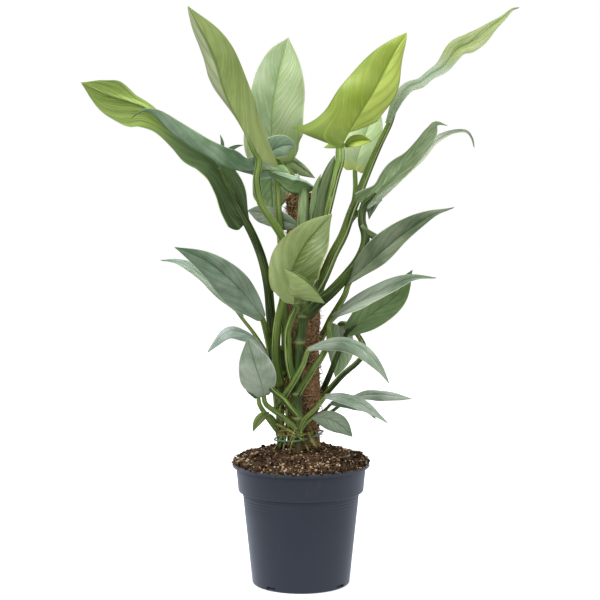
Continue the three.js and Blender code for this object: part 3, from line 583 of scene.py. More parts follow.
        "stalk": [[-18, -12, 292], [-20, -14, 323], [-21, -16, 354], [-23, -18, 397], [-25, -20, 433],
            [-28, -20, 469]],
        "rib": [[-30, -10, 508, 40], [-47, -8, 513, 35], [-66, -6, 510, 30], [-84, -6, 513, 25],
            [-97, -7, 518, 20], [-114, -10, 528, 15], [-134, -14, 539, 12], [-157, -22, 556, 10],
            [-177, -32, 577, 10], [-189, -38, 581, 10], [-202, -44, 573, 10]],
        "span": [[7.4, 12.6], [18.6, 20.6], [14, 19.6], [16, 25.3], [15.5, 22.4], [13.7, 20.1], [12.1, 20.8],
            [10.8, 19.7], [9.4, 17], [7.6, 11.5], [2.7, 2.9], [0, 0]],
        "fold": [[-30, 0], [-110, 0], [-150, 0], [-150, 0], [-150, 0], [-150, 0], [-150, 0]],
        "belly": 0.2,
        "extras": [
            {
                "rib": [[-96, 4, 536, 0], [-96, 4, 543, 0], [-97, 4, 549, 0], [-99, 4, 555, 0]],
                "wide": [2, 2.4], "belly": 0.3, "start": 0.6, "fold": [[8, 8], [8, 8]],
            },
            {
                "rib": [[-96, 4, 533, 0], [-86, 4, 538, 0], [-78, 4, 541, 0], [-70, 4, 542, 0]],
                "wide": [2, 3.5], "start": 0.4, "fold": [[8, 8], [8, 8]],
            },
            {
                "rib": [[-57, -6, 516, 0], [-46, -3, 527, 0], [-35, 3, 535, 0], [-23, 8, 541, 0],
                    [-13, 12, 542, 0], [-7, 14, 538, 0]],
                "span": [[7.3, 4.9], [12.1, 5.8], [15.7, 8.4], [15.8, 11.6], [11.4, 12.1], [0, 0]],
                "belly": 0.2,
            },
            {
                "rib": [[-40, -12, 510, -60], [-27, -14, 498, -75], [-15, -16, 487, -80], [-2, -16, 484, -80],
                    [10, -15, 486, -80], [21, -14, 489, -80]],
                "span": [[2.6, 15], [13.8, 11.3], [23.9, 15.3], [26.8, 19.8], [19.5, 14.7], [0, 0]],
                "fold": [[40, 40], [44, 56], [48, 63], [50, 65], [46, 61], [40, 40]],
                "belly": 0.2,
            },
        ],
    },
    "leaf_back_left": {
        "on": "stem_front", "tintAndShading": (1.37, 1.19, 1.12), "finish": "silver", "thick": [3.4, 2.4],
        "stalk": [[6, -24, 359], [8, -29, 391], [7, -30, 421], [1, -27, 439]],
        "rib": [[-5, -23, 445, -15], [-17, -20, 449, -15], [-34, -8, 455, -15], [-51, 4, 460, -10],
            [-66, 12, 462, -10]],
        "span": [[4.9, 3.9], [11.3, 9.9], [12.6, 10.4], [13, 9.9], [11.1, 7.7], [0, 0]],
        "fold": [[5, 5], [5, 5]],
        "belly": 0.3, "lobe": [2, 2],
    },
    "leaf_back_right": {
        "on": "stem_back", "tintAndShading": (1.29, 1.15, 1.05), "finish": "pale", "thick": [4.2, 2.9],
        "stalk": [[16, 36, 334], [28, 42, 371], [40, 46, 403], [53, 48, 429], [63, 50, 458], [68, 52, 484]],
        "rib": [[68, 56, 511, 0], [72, 62, 530, 0], [80, 72, 552, 0], [89, 84, 575, 0], [96, 94, 596, 0]],
        "span": [[17.6, 13.8], [21.3, 19.9], [21.6, 22.1], [19.3, 19.9], [13.3, 13.3], [0, 0]],
        "fold": [[3, 3], [4, 4], [5, 5], [5, 5], [5, 5], [5, 5]],
        "belly": 0.3, "lobe": [5, 5],
        "look": {"foot": paint(172, 192, 92), "footEnd": 0.16},
    },
    "leaf_center_cupped": {
        "on": "stem_front", "tintAndShading": (1.60, 1.50, 1.80), "finish": "olive", "thick": [5.4, 4.2],
        "stalk": [[-9, -26, 259], [-14, -31, 275], [-16, -35, 295], [-16, -38, 317], [-11, -46, 335],
            [-5, -60, 349]],
        "rib": [[-7, -69, 353, 0], [-11, -70, 388, 0], [1, -70, 418, 0], [19, -62, 441, 0],
            [37, -56, 460, 0]],
        "wide": [31, 37], "start": 0.7, "lobe": [-8, 0], "fold": [[12, 24], [20, 24]],
        "curl": [16, 16],
        "look": {"half": (0, 0.9), "halfColourAndShading": paint(72, 91, 38), "streaks": 0.26},
        "extras": [
            {
                "rib": [[28, -84, 356, 0], [12, -92, 377, 0], [-6, -94, 391, 0], [-20, -90, 397, 0]],
                "wide": [27, 2], "belly": 0.5, "start": 0.1, "fold": [[-12, 0], [-12, 0]],
                "curl": [-20, 0],
            },
        ],
    },
    "leaf_back_low": {
        "on": "stem_back", "tintAndShading": (2.40, 2.20, 1.90), "finish": "dark", "thick": [3.6, 2.6],
        "stalk": [[14, 36, 344], [5, 37, 412], [-1, 38, 447], [-12, 41, 492], [-21, 41, 514], [-30, 38, 526]],
        "rib": [[-37, 33, 516, 0], [-37, 33, 499, 0], [-36, 33, 480, 0], [-35, 33, 466, 0],
            [-35, 32, 454, 0]],
        "span": [[22.4, 18.6], [24.8, 22.3], [24.4, 23.7], [21.5, 22.8], [11.6, 14], [0, 0]],
        "fold": [[5, 5], [6, 6], [6, 6], [6, 6], [6, 6], [6, 6]],
        "belly": 0.3, "lobe": [5, 5],
    },
}
for leaf in leaves.values():
    for shape in (leaf, *leaf.get("extras", ())):
        for key, value in leafDefaults.items():
            shape.setdefault(key, value)

# How a blade is shaped, in millimetres and shares. "step" is the length of a row of its grid, "spread" how
# evenly its columns lie from rib to edge, "pairs" how many veins leave each side of the rib, "lean" how far
# they reach towards the tip, "swell" how high the flesh stands between them. ribFoot to ribRise shape the
# ridge underneath, and fadeRise to tipSlope calm the relief towards base and tip
blade = {"step": 3.0, "rows": 16, "across": 26, "spread": 0.62, "thick": 0.9, "sharp": 50, "flareShare": 0.25,
         "lobePower": 1.4, "cornerShare": 0.28, "keelTip": 0.35, "ribFoot": 0.75, "ribTip": 0.12,
         "ribFall": 0.6, "ribWidth": 0.8, "ribRise": 14, "pairs": 6, "lean": 0.42, "leanFoot": 0.06,
         "leanShare": 0.3, "veinCurve": 1.25, "stagger": 0.4, "swell": 0.12, "swellRise": 5, "ripple": 0.05,
         "waves": 2.3, "waveShift": 1.7, "bulge": 0.09, "groove": 0.4, "grooveWidth": 1.1, "fadeRise": 1.05,
         "tipFade": 0.95, "tipSlope": 8, "streakPitch": 0.0085}


def outline(leaf, u):
    if u < leaf["belly"]:
        return lerp(leaf["start"], 1, math.sin(math.pi / 2 * u / leaf["belly"]))
    return max(math.cos(math.pi / 2 * (u - leaf["belly"]) / (1 - leaf["belly"])), 0) ** leaf["tip"]


def ribFrame(rib, rolls, u):
    t = rib.share(u)
    along = rib.heading(t)
    face = (front - along * front.dot(along)).normalized()
    face.rotate(Quaternion(along, math.radians(rolls.at(t).x)))
    return rib.at(t), along, face, along.cross(face)


def leafLines(leaf):
    return Path([point[:3] for point in leaf["rib"]]), Path([(point[3], 0, 0) for point in leaf["rib"]])


def halfWidth(leaf, u, half):
    if "span" in leaf:
        return max(spanLine(leaf).at(u)[half], 0)
    flare = leaf["flare"][half] * max(0, 1 - u / blade["flareShare"]) ** 2
    return leaf["wide"][half] * outline(leaf, u) + flare


def spanLine(leaf):
    if "spanLine" not in leaf:
        leaf["spanLine"] = Path([(left, right, 0) for left, right in leaf["span"]], marks=1)
    return leaf["spanLine"]


# A point of the blade's middle surface, v from -1 at its left edge to 1 at its right edge
def bladePoint(leaf, spot, u, v):
    center, along, face, side = spot
    half = 0 if v < 0 else 1
    reach = abs(v)
    width = halfWidth(leaf, u, half)
    back = 0
    if u < leaf["belly"]:
        back = leaf["lobe"][half] * reach ** blade["lobePower"] * (1 - u / leaf["belly"]) ** 2
    if u < blade["cornerShare"]:
        outer = max(0, reach - 0.5) * 2
        back -= width * leaf["corner"] * outer ** 2 * (1 - u / blade["cornerShare"]) ** 2
    folds = leaf["fold"]
    place = u * (len(folds) - 1)
    station = min(int(place), len(folds) - 2)
    bend = lerp(folds[station][half], folds[station + 1][half], place - station)
    angle = math.radians(bend + leaf["curl"][half] * reach / 2)
    out = math.copysign(width * reach, v)
    return center + side * out * math.cos(angle) + face * width * reach * math.sin(angle) - along * back


def veinPhase(u, v):
    lean = blade["lean"] * min((u + blade["leanFoot"]) / blade["leanShare"], 1)
    shift = blade["stagger"] if v > 0 else 0
    return blade["pairs"] * (u - lean * abs(v) ** blade["veinCurve"]) + shift


# A closed thin shell: across the upper face from left to right, then back under it
def bladeShell(bm, leaf, seed):
    rib, rolls = leafLines(leaf)
    rows = max(blade["rows"], round(rib.length / blade["step"]))
    columns = blade["across"]
    shares = [2 * j / columns - 1 for j in range(columns + 1)]
    vs = [v * (blade["spread"] + (1 - blade["spread"]) * v * v) for v in shares]
    spots = [ribFrame(rib, rolls, i / rows) for i in range(rows + 1)]
    middle = [[bladePoint(leaf, spots[i], i / rows, v) for v in vs] for i in range(rows + 1)]
    ribRadius = leaf["thick"][1]
    widest = max(halfWidth(leaf, tenth / 10, half) for tenth in range(10) for half in (0, 1))
    rippleSize = blade["ripple"] * widest

    def normal(i, j):
        if i == rows:
            return spots[i][2]
        along = middle[i + 1][j] - middle[max(i - 1, 0)][j]
        across = middle[i][min(j + 1, columns)] - middle[i][max(j - 1, 0)]
        return across.cross(along).normalized()

    def place(k, i):
        j = k if k <= columns else 2 * columns - k
        u, v, reach = i / rows, vs[j], abs(vs[j])
        half = 0 if v < 0 else 1
        width = halfWidth(leaf, u, half)
        if u < blade["tipFade"]:
            fade = math.sin(math.pi * (u * blade["fadeRise"])) ** 0.5
        else:
            fade = (1 - u) * blade["tipSlope"]
        swell = blade["swell"] * abs(math.sin(math.pi * veinPhase(u, v)))
        swell = swell * min(reach * (1 - reach) * blade["swellRise"], 1) * fade
        wave = 2 * math.pi * u * blade["waves"] + seed * blade["waveShift"] + half * 2
        ripple = rippleSize * reach ** 2 * math.sin(wave) * fade
        swell += blade["bulge"] * width * math.sin(math.pi * reach) * fade
        lift = swell + ripple - blade["groove"] * bell(width * reach, blade["grooveWidth"]) * fade
        if k in (0, columns, 2 * columns) or i in (0, rows):
            return middle[i][j] + normal(i, j) * (ripple if i not in (0, rows) else 0)
        if k < columns:
            return middle[i][j] + normal(i, j) * (lift + blade["thick"] / 2)
        ridge = math.sqrt(max(0, 1 - (width * reach / (ribRadius * blade["ribWidth"])) ** 2))
        keel = ribRadius * lerp(blade["ribFoot"], blade["ribTip"], u ** blade["ribFall"]) * ridge
        return middle[i][j] + normal(i, j) * (lift - blade["thick"] / 2 - keel * min(u * blade["ribRise"], 1))

    wrapGrid(bm, 2 * columns, rows, place)


# What colours a leaf of each kind: its upper face, the bloom on it, its underside, its rib, edge and veins,
# and how strongly "veins" and "streaks" show. A leaf's own "look" changes some and may add more: "half" is
# how much of the half colour after it lies on its left and right half, partly that half's own colour and
# partly painted light and shade, lightening one half on some leaves and darkening it on others. "foot"
# colours it as far as "footEnd", partly as the base's own colour and partly as painted shade and light on
# the base, and between the two shares of "glow" light starts to shine through it, as "glowSkin" streaked
# with "glowLight". "fine" is how fine its streaks are, and "shade" how dark the flesh is along its veins
leafLooks = {
    "silver": {"slot": "leaf_silver", "top": paint(88, 116, 92), "bloom": paint(150, 172, 156),
               "under": paint(92, 124, 76), "underLight": paint(122, 150, 100), "rib": paint(72, 100, 66),
               "edge": paint(184, 202, 172), "vein": paint(156, 178, 158), "veins": 0.15, "streaks": 0.38},
    "dark": {"slot": "leaf_green", "top": paint(84, 114, 80), "bloom": paint(136, 164, 130),
             "under": paint(76, 104, 62), "underLight": paint(108, 136, 92), "rib": paint(56, 82, 36),
             "edge": paint(160, 184, 132), "vein": paint(120, 150, 100), "veins": 0.15, "streaks": 0.4},
    "pale": {"slot": "leaf_pale", "top": paint(148, 182, 134), "bloom": paint(186, 208, 180),
             "under": paint(160, 184, 112), "underLight": paint(186, 204, 146), "rib": paint(130, 170, 92),
             "edge": paint(190, 208, 170), "vein": paint(196, 214, 176), "veins": 0.3, "streaks": 0.4},
    "olive": {"slot": "leaf_olive", "top": paint(134, 156, 84), "bloom": paint(158, 178, 112),
              "under": paint(146, 166, 96), "underLight": paint(180, 196, 146), "rib": paint(84, 112, 44),
              "edge": paint(150, 160, 96), "vein": paint(178, 194, 134), "veins": 0.3, "streaks": 0.3},
    "lime": {"slot": "leaf_lime", "top": paint(138, 162, 50), "bloom": paint(166, 184, 86),
             "under": paint(176, 198, 70), "underLight": paint(206, 220, 120), "rib": paint(112, 146, 36),
             "edge": paint(126, 154, 50), "vein": paint(188, 212, 88), "veins": 0.4, "streaks": 0.28},
}
# Noises as scale, detail and roughness, masks as where they start and are full, and how strong each one is
leafSkin = {"specular": 0.35, "soft": (16, 2), "mottle": (60, 4, 0.6), "waver": 0.2, "shade": 0.25,
            "brightest": 0.95, "veinWidth": (0.0, 0.05), "veinStart": (0.0, 0.1), "veinEnd": (0.6, 0.95),
            "streak": (4, 3, 0.62), "streakAcross": 0.6, "streakShift": 7, "streakBand": (0.47, 0.68),
            "darkStreak": 0.6, "shadeBand": (0.02, 0.32), "rib": (0.006, 0.03), "ribTaper": 0.3,
            "ribStrength": 0.65, "edge": (0.94, 0.965), "edgeStrength": 0.8, "bloom": (0.32, 0.68),
            "speckle": 0.3, "underLight": (0.35, 0.7), "footStrength": 0.85, "glowLight": (0.4, 0.65),
            "glowWaver": 0.1, "rough": 0.4, "roughMottle": 0.16, "roughUnder": 0.1, "relief": 0.5,
            "bump": (0.0002, 0.5)}


def leafFinish(name, look):
    skin = leafSkin
    leaf = Finish(name, {"Specular IOR Level": skin["specular"]})
    across, u = leaf.gridPlace()
    line = 1 - abs(across * 4 - 2)
    v = line * (line * line * (1 - blade["spread"]) + blade["spread"])
    reach = abs(v)
    under = across > 0.5
    right = v > 0
    soft = leaf.noise(leaf.place(), *skin["soft"])
    mottle = leaf.noise(leaf.place(), *skin["mottle"])
    lean = leaf.math("MINIMUM", (u + blade["leanFoot"]) / blade["leanShare"], 1) * blade["lean"]
    phase = (u - lean * reach ** blade["veinCurve"]) * blade["pairs"] + right * blade["stagger"]
    phase = phase + (soft - 0.5) * skin["waver"]
    away = abs(leaf.math("FRACT", phase + 0.5) - 0.5)
    vein = (1 - leaf.smooth(away, *skin["veinWidth"])) * leaf.smooth(reach, *skin["veinStart"])
    vein = vein * (1 - leaf.smooth(reach, *skin["veinEnd"]))
    beside = reach * skin["streakAcross"] + right * skin["streakShift"]
    lines = leaf.node("ShaderNodeCombineXYZ", {}, {"X": phase * look["fine"], "Y": beside, "Z": under})
    streak = leaf.noise(lines, *skin["streak"])
    rib = 1 - leaf.smooth(reach * leaf.math("MAXIMUM", 1 - u, skin["ribTaper"]), *skin["rib"])
    bloom = leaf.smooth(soft + (mottle - 0.5) * skin["speckle"], *skin["bloom"])
    top = leaf.mix(bloom, look["top"], look["bloom"])
    below = leaf.mix(leaf.smooth(soft, *skin["underLight"]), look["under"], look["underLight"])
    layers = [(under, below)]
    # Painted light and shade on one half, partly that half's own colour: it lightens one half on some leaves
    # and darkens it on others
    if "half" in look:
        shares = look["half"]
        layers.append((right * (shares[1] - shares[0]) + shares[0], look["halfColourAndShading"]))
    # Painted shade and light at the leaf's base, partly the base's own colour: darker on some bases, lighter
    # on others
    if "foot" in look:
        layers.append(((1 - leaf.smooth(u, 0.0, look["footEnd"])) * skin["footStrength"], look["foot"]))
    if "glow" in look:
        lit = leaf.mix(leaf.smooth(streak, *skin["glowLight"]), look["glowSkin"], look["glowLight"])
        layers.append((leaf.smooth(u + (soft - 0.5) * skin["glowWaver"], *look["glow"]), lit))
    pale = leaf.smooth(streak, *skin["streakBand"])
    dark = leaf.smooth(1 - streak, *skin["streakBand"])
    # Along the midrib the rib colour is partly the midrib's own colour and partly painted shade in the groove
    # that runs along it
    layers += [(pale * look["streaks"], look["vein"]),
               (dark * look["streaks"] * skin["darkStreak"], look["rib"]),
               ((1 - leaf.smooth(away, *skin["shadeBand"])) * look["shade"], look["rib"]),
               (vein * look["veins"], look["vein"]), (rib * skin["ribStrength"], look["rib"]),
               (leaf.smooth(reach, *skin["edge"]) * skin["edgeStrength"], look["edge"])]
    rough = mottle * skin["roughMottle"] + skin["rough"] + under * skin["roughUnder"]
    leaf.feed(leaf.shader, {"Base Color": leaf.lay(top, layers), "Roughness": rough})
    leaf.bump(vein * (under * 2 - 1) * skin["relief"] + streak, *skin["bump"])
    return leaf.material


for seed, (name, leaf) in enumerate(leaves.items()):
    fine = leafLines(leaf)[0].length * blade["streakPitch"]
    look = {"fine": fine, "shade": leafSkin["shade"], **leafLooks[leaf["finish"]], **leaf["look"]}
    # The colour multiplier is partly each leaf's own tone and partly painted light and shade: it lifts leaves
    # that lie in shade and dims some lit ones
    for key, value in look.items():
        if isinstance(value, tuple) and len(value) == 4:
            look[key] = tuple(min(a * b, leafSkin["brightest"]) for a, b in zip(value, leaf["tintAndShading"])) + (1,)
    bm = newBody()
    bladeShell(bm, leaf, seed)
    for extra in leaf["extras"]:
        bladeShell(bm, extra, seed + 0.5)
    piece = finishPiece(name + "_blade", bm, [leafFinish(name + "_skin", look)], look["slot"], name)
    piece.data.set_sharp_from_angle(angle=math.radians(blade["sharp"]))
print("leaves made:", len(leaves))

# Stalks, in millimetres and shares of their radius, with the groove along their upper side
stalks = {"step": 5, "rings": 10, "sides": 24, "sink": 0.72, "groove": 0.26, "grooveWidth": 0.75, "rim": 0.06,
          "rimAngle": 1.3, "rimWidth": 0.3, "foot": 0.22, "footShare": 0.05}
# A sheath keeps its foot's size for long, closes to a point at its head and has a fold along its front
sheathShape = {"headPower": 3, "tipShare": 0.2, "tipLeast": 0.02, "tipPower": 0.7, "fold": 0.35,
               "foldWidth": 0.5}
# A stem swells at its nodes, with a raised ring round them, and has fine ribs and lumps
stemShape = {"step": 1.6, "sides": 28, "swell": 1.4, "reach": 3, "ringHeight": 0.55, "ringWidth": 0.9,
             "ringGap": 1, "rib": 0.18, "ribs": 9, "ribTurn": 0.03, "lump": 0.3, "lumpPitch": 0.05,
             "dome": 0.03, "domeLeast": 0.01, "scarDrop": 1, "scarWidth": 1.6}


def stalkPath(leaf):
    rib, rolls = leafLines(leaf)
    points = [Vector(point) for point in leaf["stalk"]]
    for share in (0, 0.5, 1):
        center, along, face, side = ribFrame(rib, rolls, share * leaf["keel"])
        radius = leaf["thick"][1] * lerp(1, blade["keelTip"], share)
        points.append(center - face * (radius * stalks["sink"] + blade["thick"] / 2))
    path = Path(points)
    return path, 1 - leaf["keel"] * rib.length / path.length, ribFrame(rib, rolls, 0)[2]


def ringsOf(path):
    return max(stalks["rings"], round(path.length / stalks["step"]))


# 1 as far as the last share of a tube, then falling to its end as a round head does
def dome(s, share, least):
    return 1 if s < 1 - share else math.sqrt(max(1 - ((s - (1 - share)) / share) ** 2, least))


def stalk(bm, leaf):
    foot, head = leaf["thick"]
    path, neck, face = stalkPath(leaf)

    def radiusAt(s, angle):
        if s < neck:
            size = lerp(foot, head, s / neck)
            gape = math.sin(math.pi * (s / neck)) ** 0.5
        else:
            size = head * lerp(1, blade["keelTip"], (s - neck) / (1 - neck))
            gape = 0
        turn = abs(angle)
        shape = 1 - gape * stalks["groove"] * bell(turn, stalks["grooveWidth"])
        shape += gape * stalks["rim"] * bell(turn - stalks["rimAngle"], stalks["rimWidth"])
        return size * (shape + stalks["foot"] * bell(s, stalks["footShare"]))

    tube(bm, path, ringsOf(path), stalks["sides"], radiusAt, face, fromEnd=True, finish=1)


def sheath(bm, husk):
    form = sheathShape
    foot, head = husk["thick"]
    path = Path(husk["path"])
    tipShare = husk.get("tipShare", form["tipShare"])

    def radiusAt(s, angle):
        tip = max(1 - max((s - 1) / tipShare + 1, 0) ** 2, form["tipLeast"]) ** form["tipPower"]
        size = lerp(foot, head, s ** form["headPower"]) * tip
        return size * (1 - form["fold"] * bell(abs(angle), form["foldWidth"]) * math.sin(math.pi * s))

    made = tube(bm, path, ringsOf(path), stalks["sides"], radiusAt, front, finish=2)
    setTone(bm, made, husk.get("shade", 0.0))


def stem(bm, shape):
    form = stemShape
    path = Path(shape["path"])
    low, high = shape["path"][0][2], shape["path"][-1][2]

    def radiusAt(s, angle):
        z = lerp(low, high, s)
        near = min(abs(node - z) for node in shape["nodes"])
        size = lerp(*shape["thick"], s) + form["swell"] * bell(near, form["reach"])
        size += form["ringHeight"] * bell(near - form["ringGap"], form["ringWidth"])
        around = Vector((math.cos(angle), math.sin(angle), z * form["lumpPitch"] + low))
        ribs = form["rib"] * math.sin(form["ribs"] * angle + z * form["ribTurn"])
        size += ribs + form["lump"] * noise.noise(around)
        return size * dome(s, form["dome"], form["domeLeast"])

    made = tube(bm, path, round(path.length / form["step"]), form["sides"], radiusAt, front)
    layer = bm.verts.layers.float["tone"]
    for vert in made:
        near = min(abs(node - vert.co.z / mm - form["scarDrop"]) for node in shape["nodes"])
        vert[layer] = bell(near, form["scarWidth"])


stemLook = {"skin": paint(84, 113, 46), "light": paint(136, 166, 84), "dark": paint(28, 45, 18),
            "scar": paint(196, 204, 134), "bark": paint(106, 90, 54), "specular": 0.45,
            "squeeze": (1, 1, 0.12), "streak": (190, 4, 0.6), "patch": (30, 3), "darkBand": (0.3, 0.7),
            "lightBand": (0.5, 0.72), "lightStrength": 0.6, "barkTop": 0.2, "barkFade": 0.03,
            "barkWaver": 0.08, "barkStrength": 0.75, "scarStrength": 0.7, "rough": 0.36, "roughStreak": 0.2,
            "roughBark": 0.3, "bump": (0.0004, 0.5)}
# "streak" is how fine the lines along a stalk or sheath are, "joint" the yellow-green foot of a stalk.
# "groove" is painted light in the groove, "light" gives both pale streaks and a painted highlight on the
# groove's rims, and "dark" both dark streaks and painted shade, on the side away from the groove and on
# shaded sheaths
stalkLook = {"skin": paint(108, 140, 50), "dark": paint(28, 45, 14), "light": paint(198, 214, 138),
             "groove": paint(120, 148, 66), "joint": paint(164, 178, 84), "jointEnd": 0.05, "streak": 16}
sheathLook = {"skin": paint(120, 146, 90), "dark": paint(52, 72, 32), "light": paint(188, 206, 154),
              "groove": paint(134, 158, 104), "joint": paint(110, 130, 60), "jointEnd": 0.1, "streak": 22}
# What stalks and sheaths share, "top" being how far round from the middle of the groove a mask lies. One mask
# paints light in the groove, one a painted highlight on its two rims and one painted shade on the far side
stalkSkin = {"specular": 0.4, "along": 3, "streak": (2, 3, 0.6), "fine": (500, 2, 0.5), "patch": (30, 2),
             "streakShare": 0.7, "patchShare": 0.3, "darkBand": (0.4, 0.58), "grooveLightTop": (0.06, 0.15),
             "grooveLightStrength": 0.8, "lightBand": (0.55, 0.62), "lightStrength": 0.35,
             "shadeBelowTop": (0.25, 0.33), "shadeBelowStrength": 0.55, "rimHighlightTop": 0.2, "rimWidth": (0.012, 0.028),
             "rimHighlightStrength": 0.85, "jointStrength": 0.7, "shadeStrength": 0.6, "rough": 0.3,
             "roughStreak": 0.2, "relief": 0.3, "bump": (0.0005, 0.5)}


def stemFinish(look):
    stem = Finish("stem_skin", {"Specular IOR Level": look["specular"]})
    streak = stem.noise(stem.place(look["squeeze"]), *look["streak"])
    patch = stem.noise(stem.place(), *look["patch"])
    height = stem.height() + (patch - 0.5) * look["barkWaver"]
    woody = 1 - stem.smooth(height, look["barkTop"] - look["barkFade"], look["barkTop"] + look["barkFade"])
    woody = woody * look["barkStrength"]
    skin = stem.lay(look["dark"], [
        (stem.smooth(streak, *look["darkBand"]), look["skin"]),
        (stem.smooth(patch, *look["lightBand"]) * look["lightStrength"], look["light"]),
        (woody, look["bark"]),
        (stem.tone() * look["scarStrength"], look["scar"])])
    rough = streak * look["roughStreak"] + look["rough"] + woody * look["roughBark"]
    stem.feed(stem.shader, {"Base Color": skin, "Roughness": rough})
    stem.bump(streak, *look["bump"])
    return stem.material


def stalkFinish(name, look):
    skin = stalkSkin
    stalk = Finish(name, {"Specular IOR Level": skin["specular"]})
    around, along = stalk.gridPlace()
    top = abs(around - 0.5)
    spot = {"X": around * look["streak"], "Y": along * skin["along"], "Z": 0.0}
    streak = stalk.noise(stalk.node("ShaderNodeCombineXYZ", {}, spot), *skin["streak"])
    fine = stalk.noise(stalk.place(), *skin["fine"])
    patch = stalk.noise(stalk.place(), *skin["patch"])
    blend = streak * skin["streakShare"] + patch * skin["patchShare"]
    rim = 1 - stalk.smooth(abs(top - skin["rimHighlightTop"]), *skin["rimWidth"])
    colour = stalk.lay(look["dark"], [
        (stalk.smooth(blend, *skin["darkBand"]), look["skin"]),
        # Painted light in the groove, lighter than the skin around it
        ((1 - stalk.smooth(top, *skin["grooveLightTop"])) * skin["grooveLightStrength"], look["groove"]),
        (stalk.smooth(streak, *skin["lightBand"]) * skin["lightStrength"], look["light"]),
        # Painted shade on the side away from the groove
        (stalk.smooth(top, *skin["shadeBelowTop"]) * skin["shadeBelowStrength"], look["dark"]),
        # Painted highlight along the groove's two rims
        (rim * skin["rimHighlightStrength"], look["light"]),
        ((1 - stalk.smooth(along, 0.0, look["jointEnd"])) * skin["jointStrength"], look["joint"]),
        (stalk.tone() * skin["shadeStrength"], look["dark"])])
    rough = streak * skin["roughStreak"] + skin["rough"]
    stalk.feed(stalk.shader, {"Base Color": colour, "Roughness": rough})
    stalk.bump(streak + fine * skin["relief"], *skin["bump"])
    return stalk.material


# A stem's own faces take finish 0, those of its stalks 1 and those of its sheaths 2
skins = [stemFinish(stemLook), stalkFinish("stalk_skin", stalkLook), stalkFinish("sheath_skin", sheathLook)]
for name, shape in stems.items():
    bm = newBody()
    stem(bm, shape)
    for leaf in leaves.values():
        if leaf["on"] == name:
            stalk(bm, leaf)
    for husk in shape.get("sheaths", []):
        sheath(bm, husk)
    finishPiece(name + "_shoots", bm, skins, "stem", name)
print("stems made:", len(stems))


# A short loose fibre: a bent tube that starts at a spot and sets off in a direction
strandShape = {"parts": 3, "taper": 0.6, "marks": 12, "rings": 4, "sides": 3, "up": (0.3, 0.2, 0.9)}


def strand(bm, draw, spot, heading, length, thick, bend, tone):
    form = strandShape
    points = [Vector(spot)]
    way = Vector(heading).normalized()
    for step in range(form["parts"]):
        points.append(points[-1] + way * length / form["parts"])
        way = (way + Vector([draw.uniform(-bend, bend) for axis in range(3)])).normalized()

    def radiusAt(s, angle):
        return thick * (1 - form["taper"] * s)

    path = Path(points, marks=form["marks"])
    addSmall(bm, lambda small: tube(small, path, form["rings"], form["sides"], radiusAt, form["up"]), tone)


# The short roots and stubs at the feet of the stems: each one's path and thickness in millimetres
footRoots = [
    ([(-31, -14, 201), (-22, -22, 198), (-13, -30, 195), (-4, -35, 189), (4, -35, 183)], 1.5),
    ([(-26, -18, 192), (-18, -26, 195), (-10, -33, 193), (-2, -35, 187)], 1.1),
    ([(-21, -22, 186), (-13, -30, 190), (-5, -35, 188), (7, -34, 192)], 1.3),
    ([(-18, -4, 259), (-20, -6, 236), (-17, -8, 211), (-21, -8, 172)], 2.4),
    ([(-13, -22, 234), (-17, -22, 217), (-15, -24, 197), (-11, -26, 173)], 1.6),
    ([(-23, -12, 230), (-26, -16, 212), (-22, -16, 194), (-27, -14, 168)], 1.4),
    ([(10, -27, 193), (12, -29, 185), (16, -30, 179), (20, -30, 173)], 2.6),
    ([(0, -27, 203), (-7, -31, 196), (-12, -32, 186), (-16, -31, 176)], 1.3),
    ([(-2, -28, 198), (2, -32, 189), (5, -32, 180), (10, -30, 169)], 1.4),
    ([(-22, -12, 200), (-17, -22, 193), (-10, -27, 188), (-1, -28, 183)], 1.5),
    ([(-22, -12, 188), (-27, -16, 181), (-31, -16, 173), (-36, -16, 163)], 1.1),
    ([(4, -24, 207), (10, -27, 200), (13, -28, 192), (12, -27, 182)], 1.7),
    ([(-18, -14, 206), (-12, -22, 202), (-6, -30, 195), (-5, -32, 184)], 1.2),
    ([(-23, -14, 196), (-20, -22, 186), (-21, -24, 175), (-24, -24, 165)], 1.3),
    ([(-4, -29, 191), (-10, -33, 183), (-13, -33, 174), (-15, -32, 163)], 1.0),
]
rootShape = {"rings": 18, "sides": 12, "taper": 0.35, "knot": 0.12, "knotPitch": 19, "knotShift": 7,
             "ridge": 0.08, "ridges": 3, "ridgeTurn": 9, "dome": 0.1, "domeLeast": 0.05}
rootLook = {"dark": paint(80, 92, 38), "skin": paint(164, 176, 96), "bark": paint(156, 126, 84),
            "squeeze": (1, 1, 0.4), "streak": (320, 3, 0.6), "patch": (70, 2), "skinBand": (0.35, 0.6),
            "barkBand": (0.5, 0.65), "barkStrength": 0.6, "bump": (0.0006, 0.6)}


def rootFinish(look):
    root = Finish("root_skin", {"Specular IOR Level": 0.3, "Roughness": 0.7})
    streak = root.noise(root.place(look["squeeze"]), *look["streak"])
    patch = root.noise(root.place(), *look["patch"])
    skin = root.lay(look["dark"], [
        (root.smooth(streak, *look["skinBand"]), look["skin"]),
        (root.smooth(patch, *look["barkBand"]) * look["barkStrength"], look["bark"])])
    root.feed(root.shader, {"Base Color": skin})
    root.bump(streak, *look["bump"])
    return root.material


def rootPiece():
    form = rootShape
    bm = newBody()
    for points, thick in footRoots:

        def radiusAt(s, angle):
            knots = form["knot"] * math.sin(s * form["knotPitch"] + thick * form["knotShift"])
            knots += form["ridge"] * math.sin(angle * form["ridges"] + s * form["ridgeTurn"])
            return thick * (1 - form["taper"] * s) * (1 + knots) * dome(s, form["dome"], form["domeLeast"])

        tube(bm, Path(points), form["rings"], form["sides"], radiusAt, front)
    finishPiece("stem_foot_roots", bm, [rootFinish(rootLook)], "stem")


rootPiece()


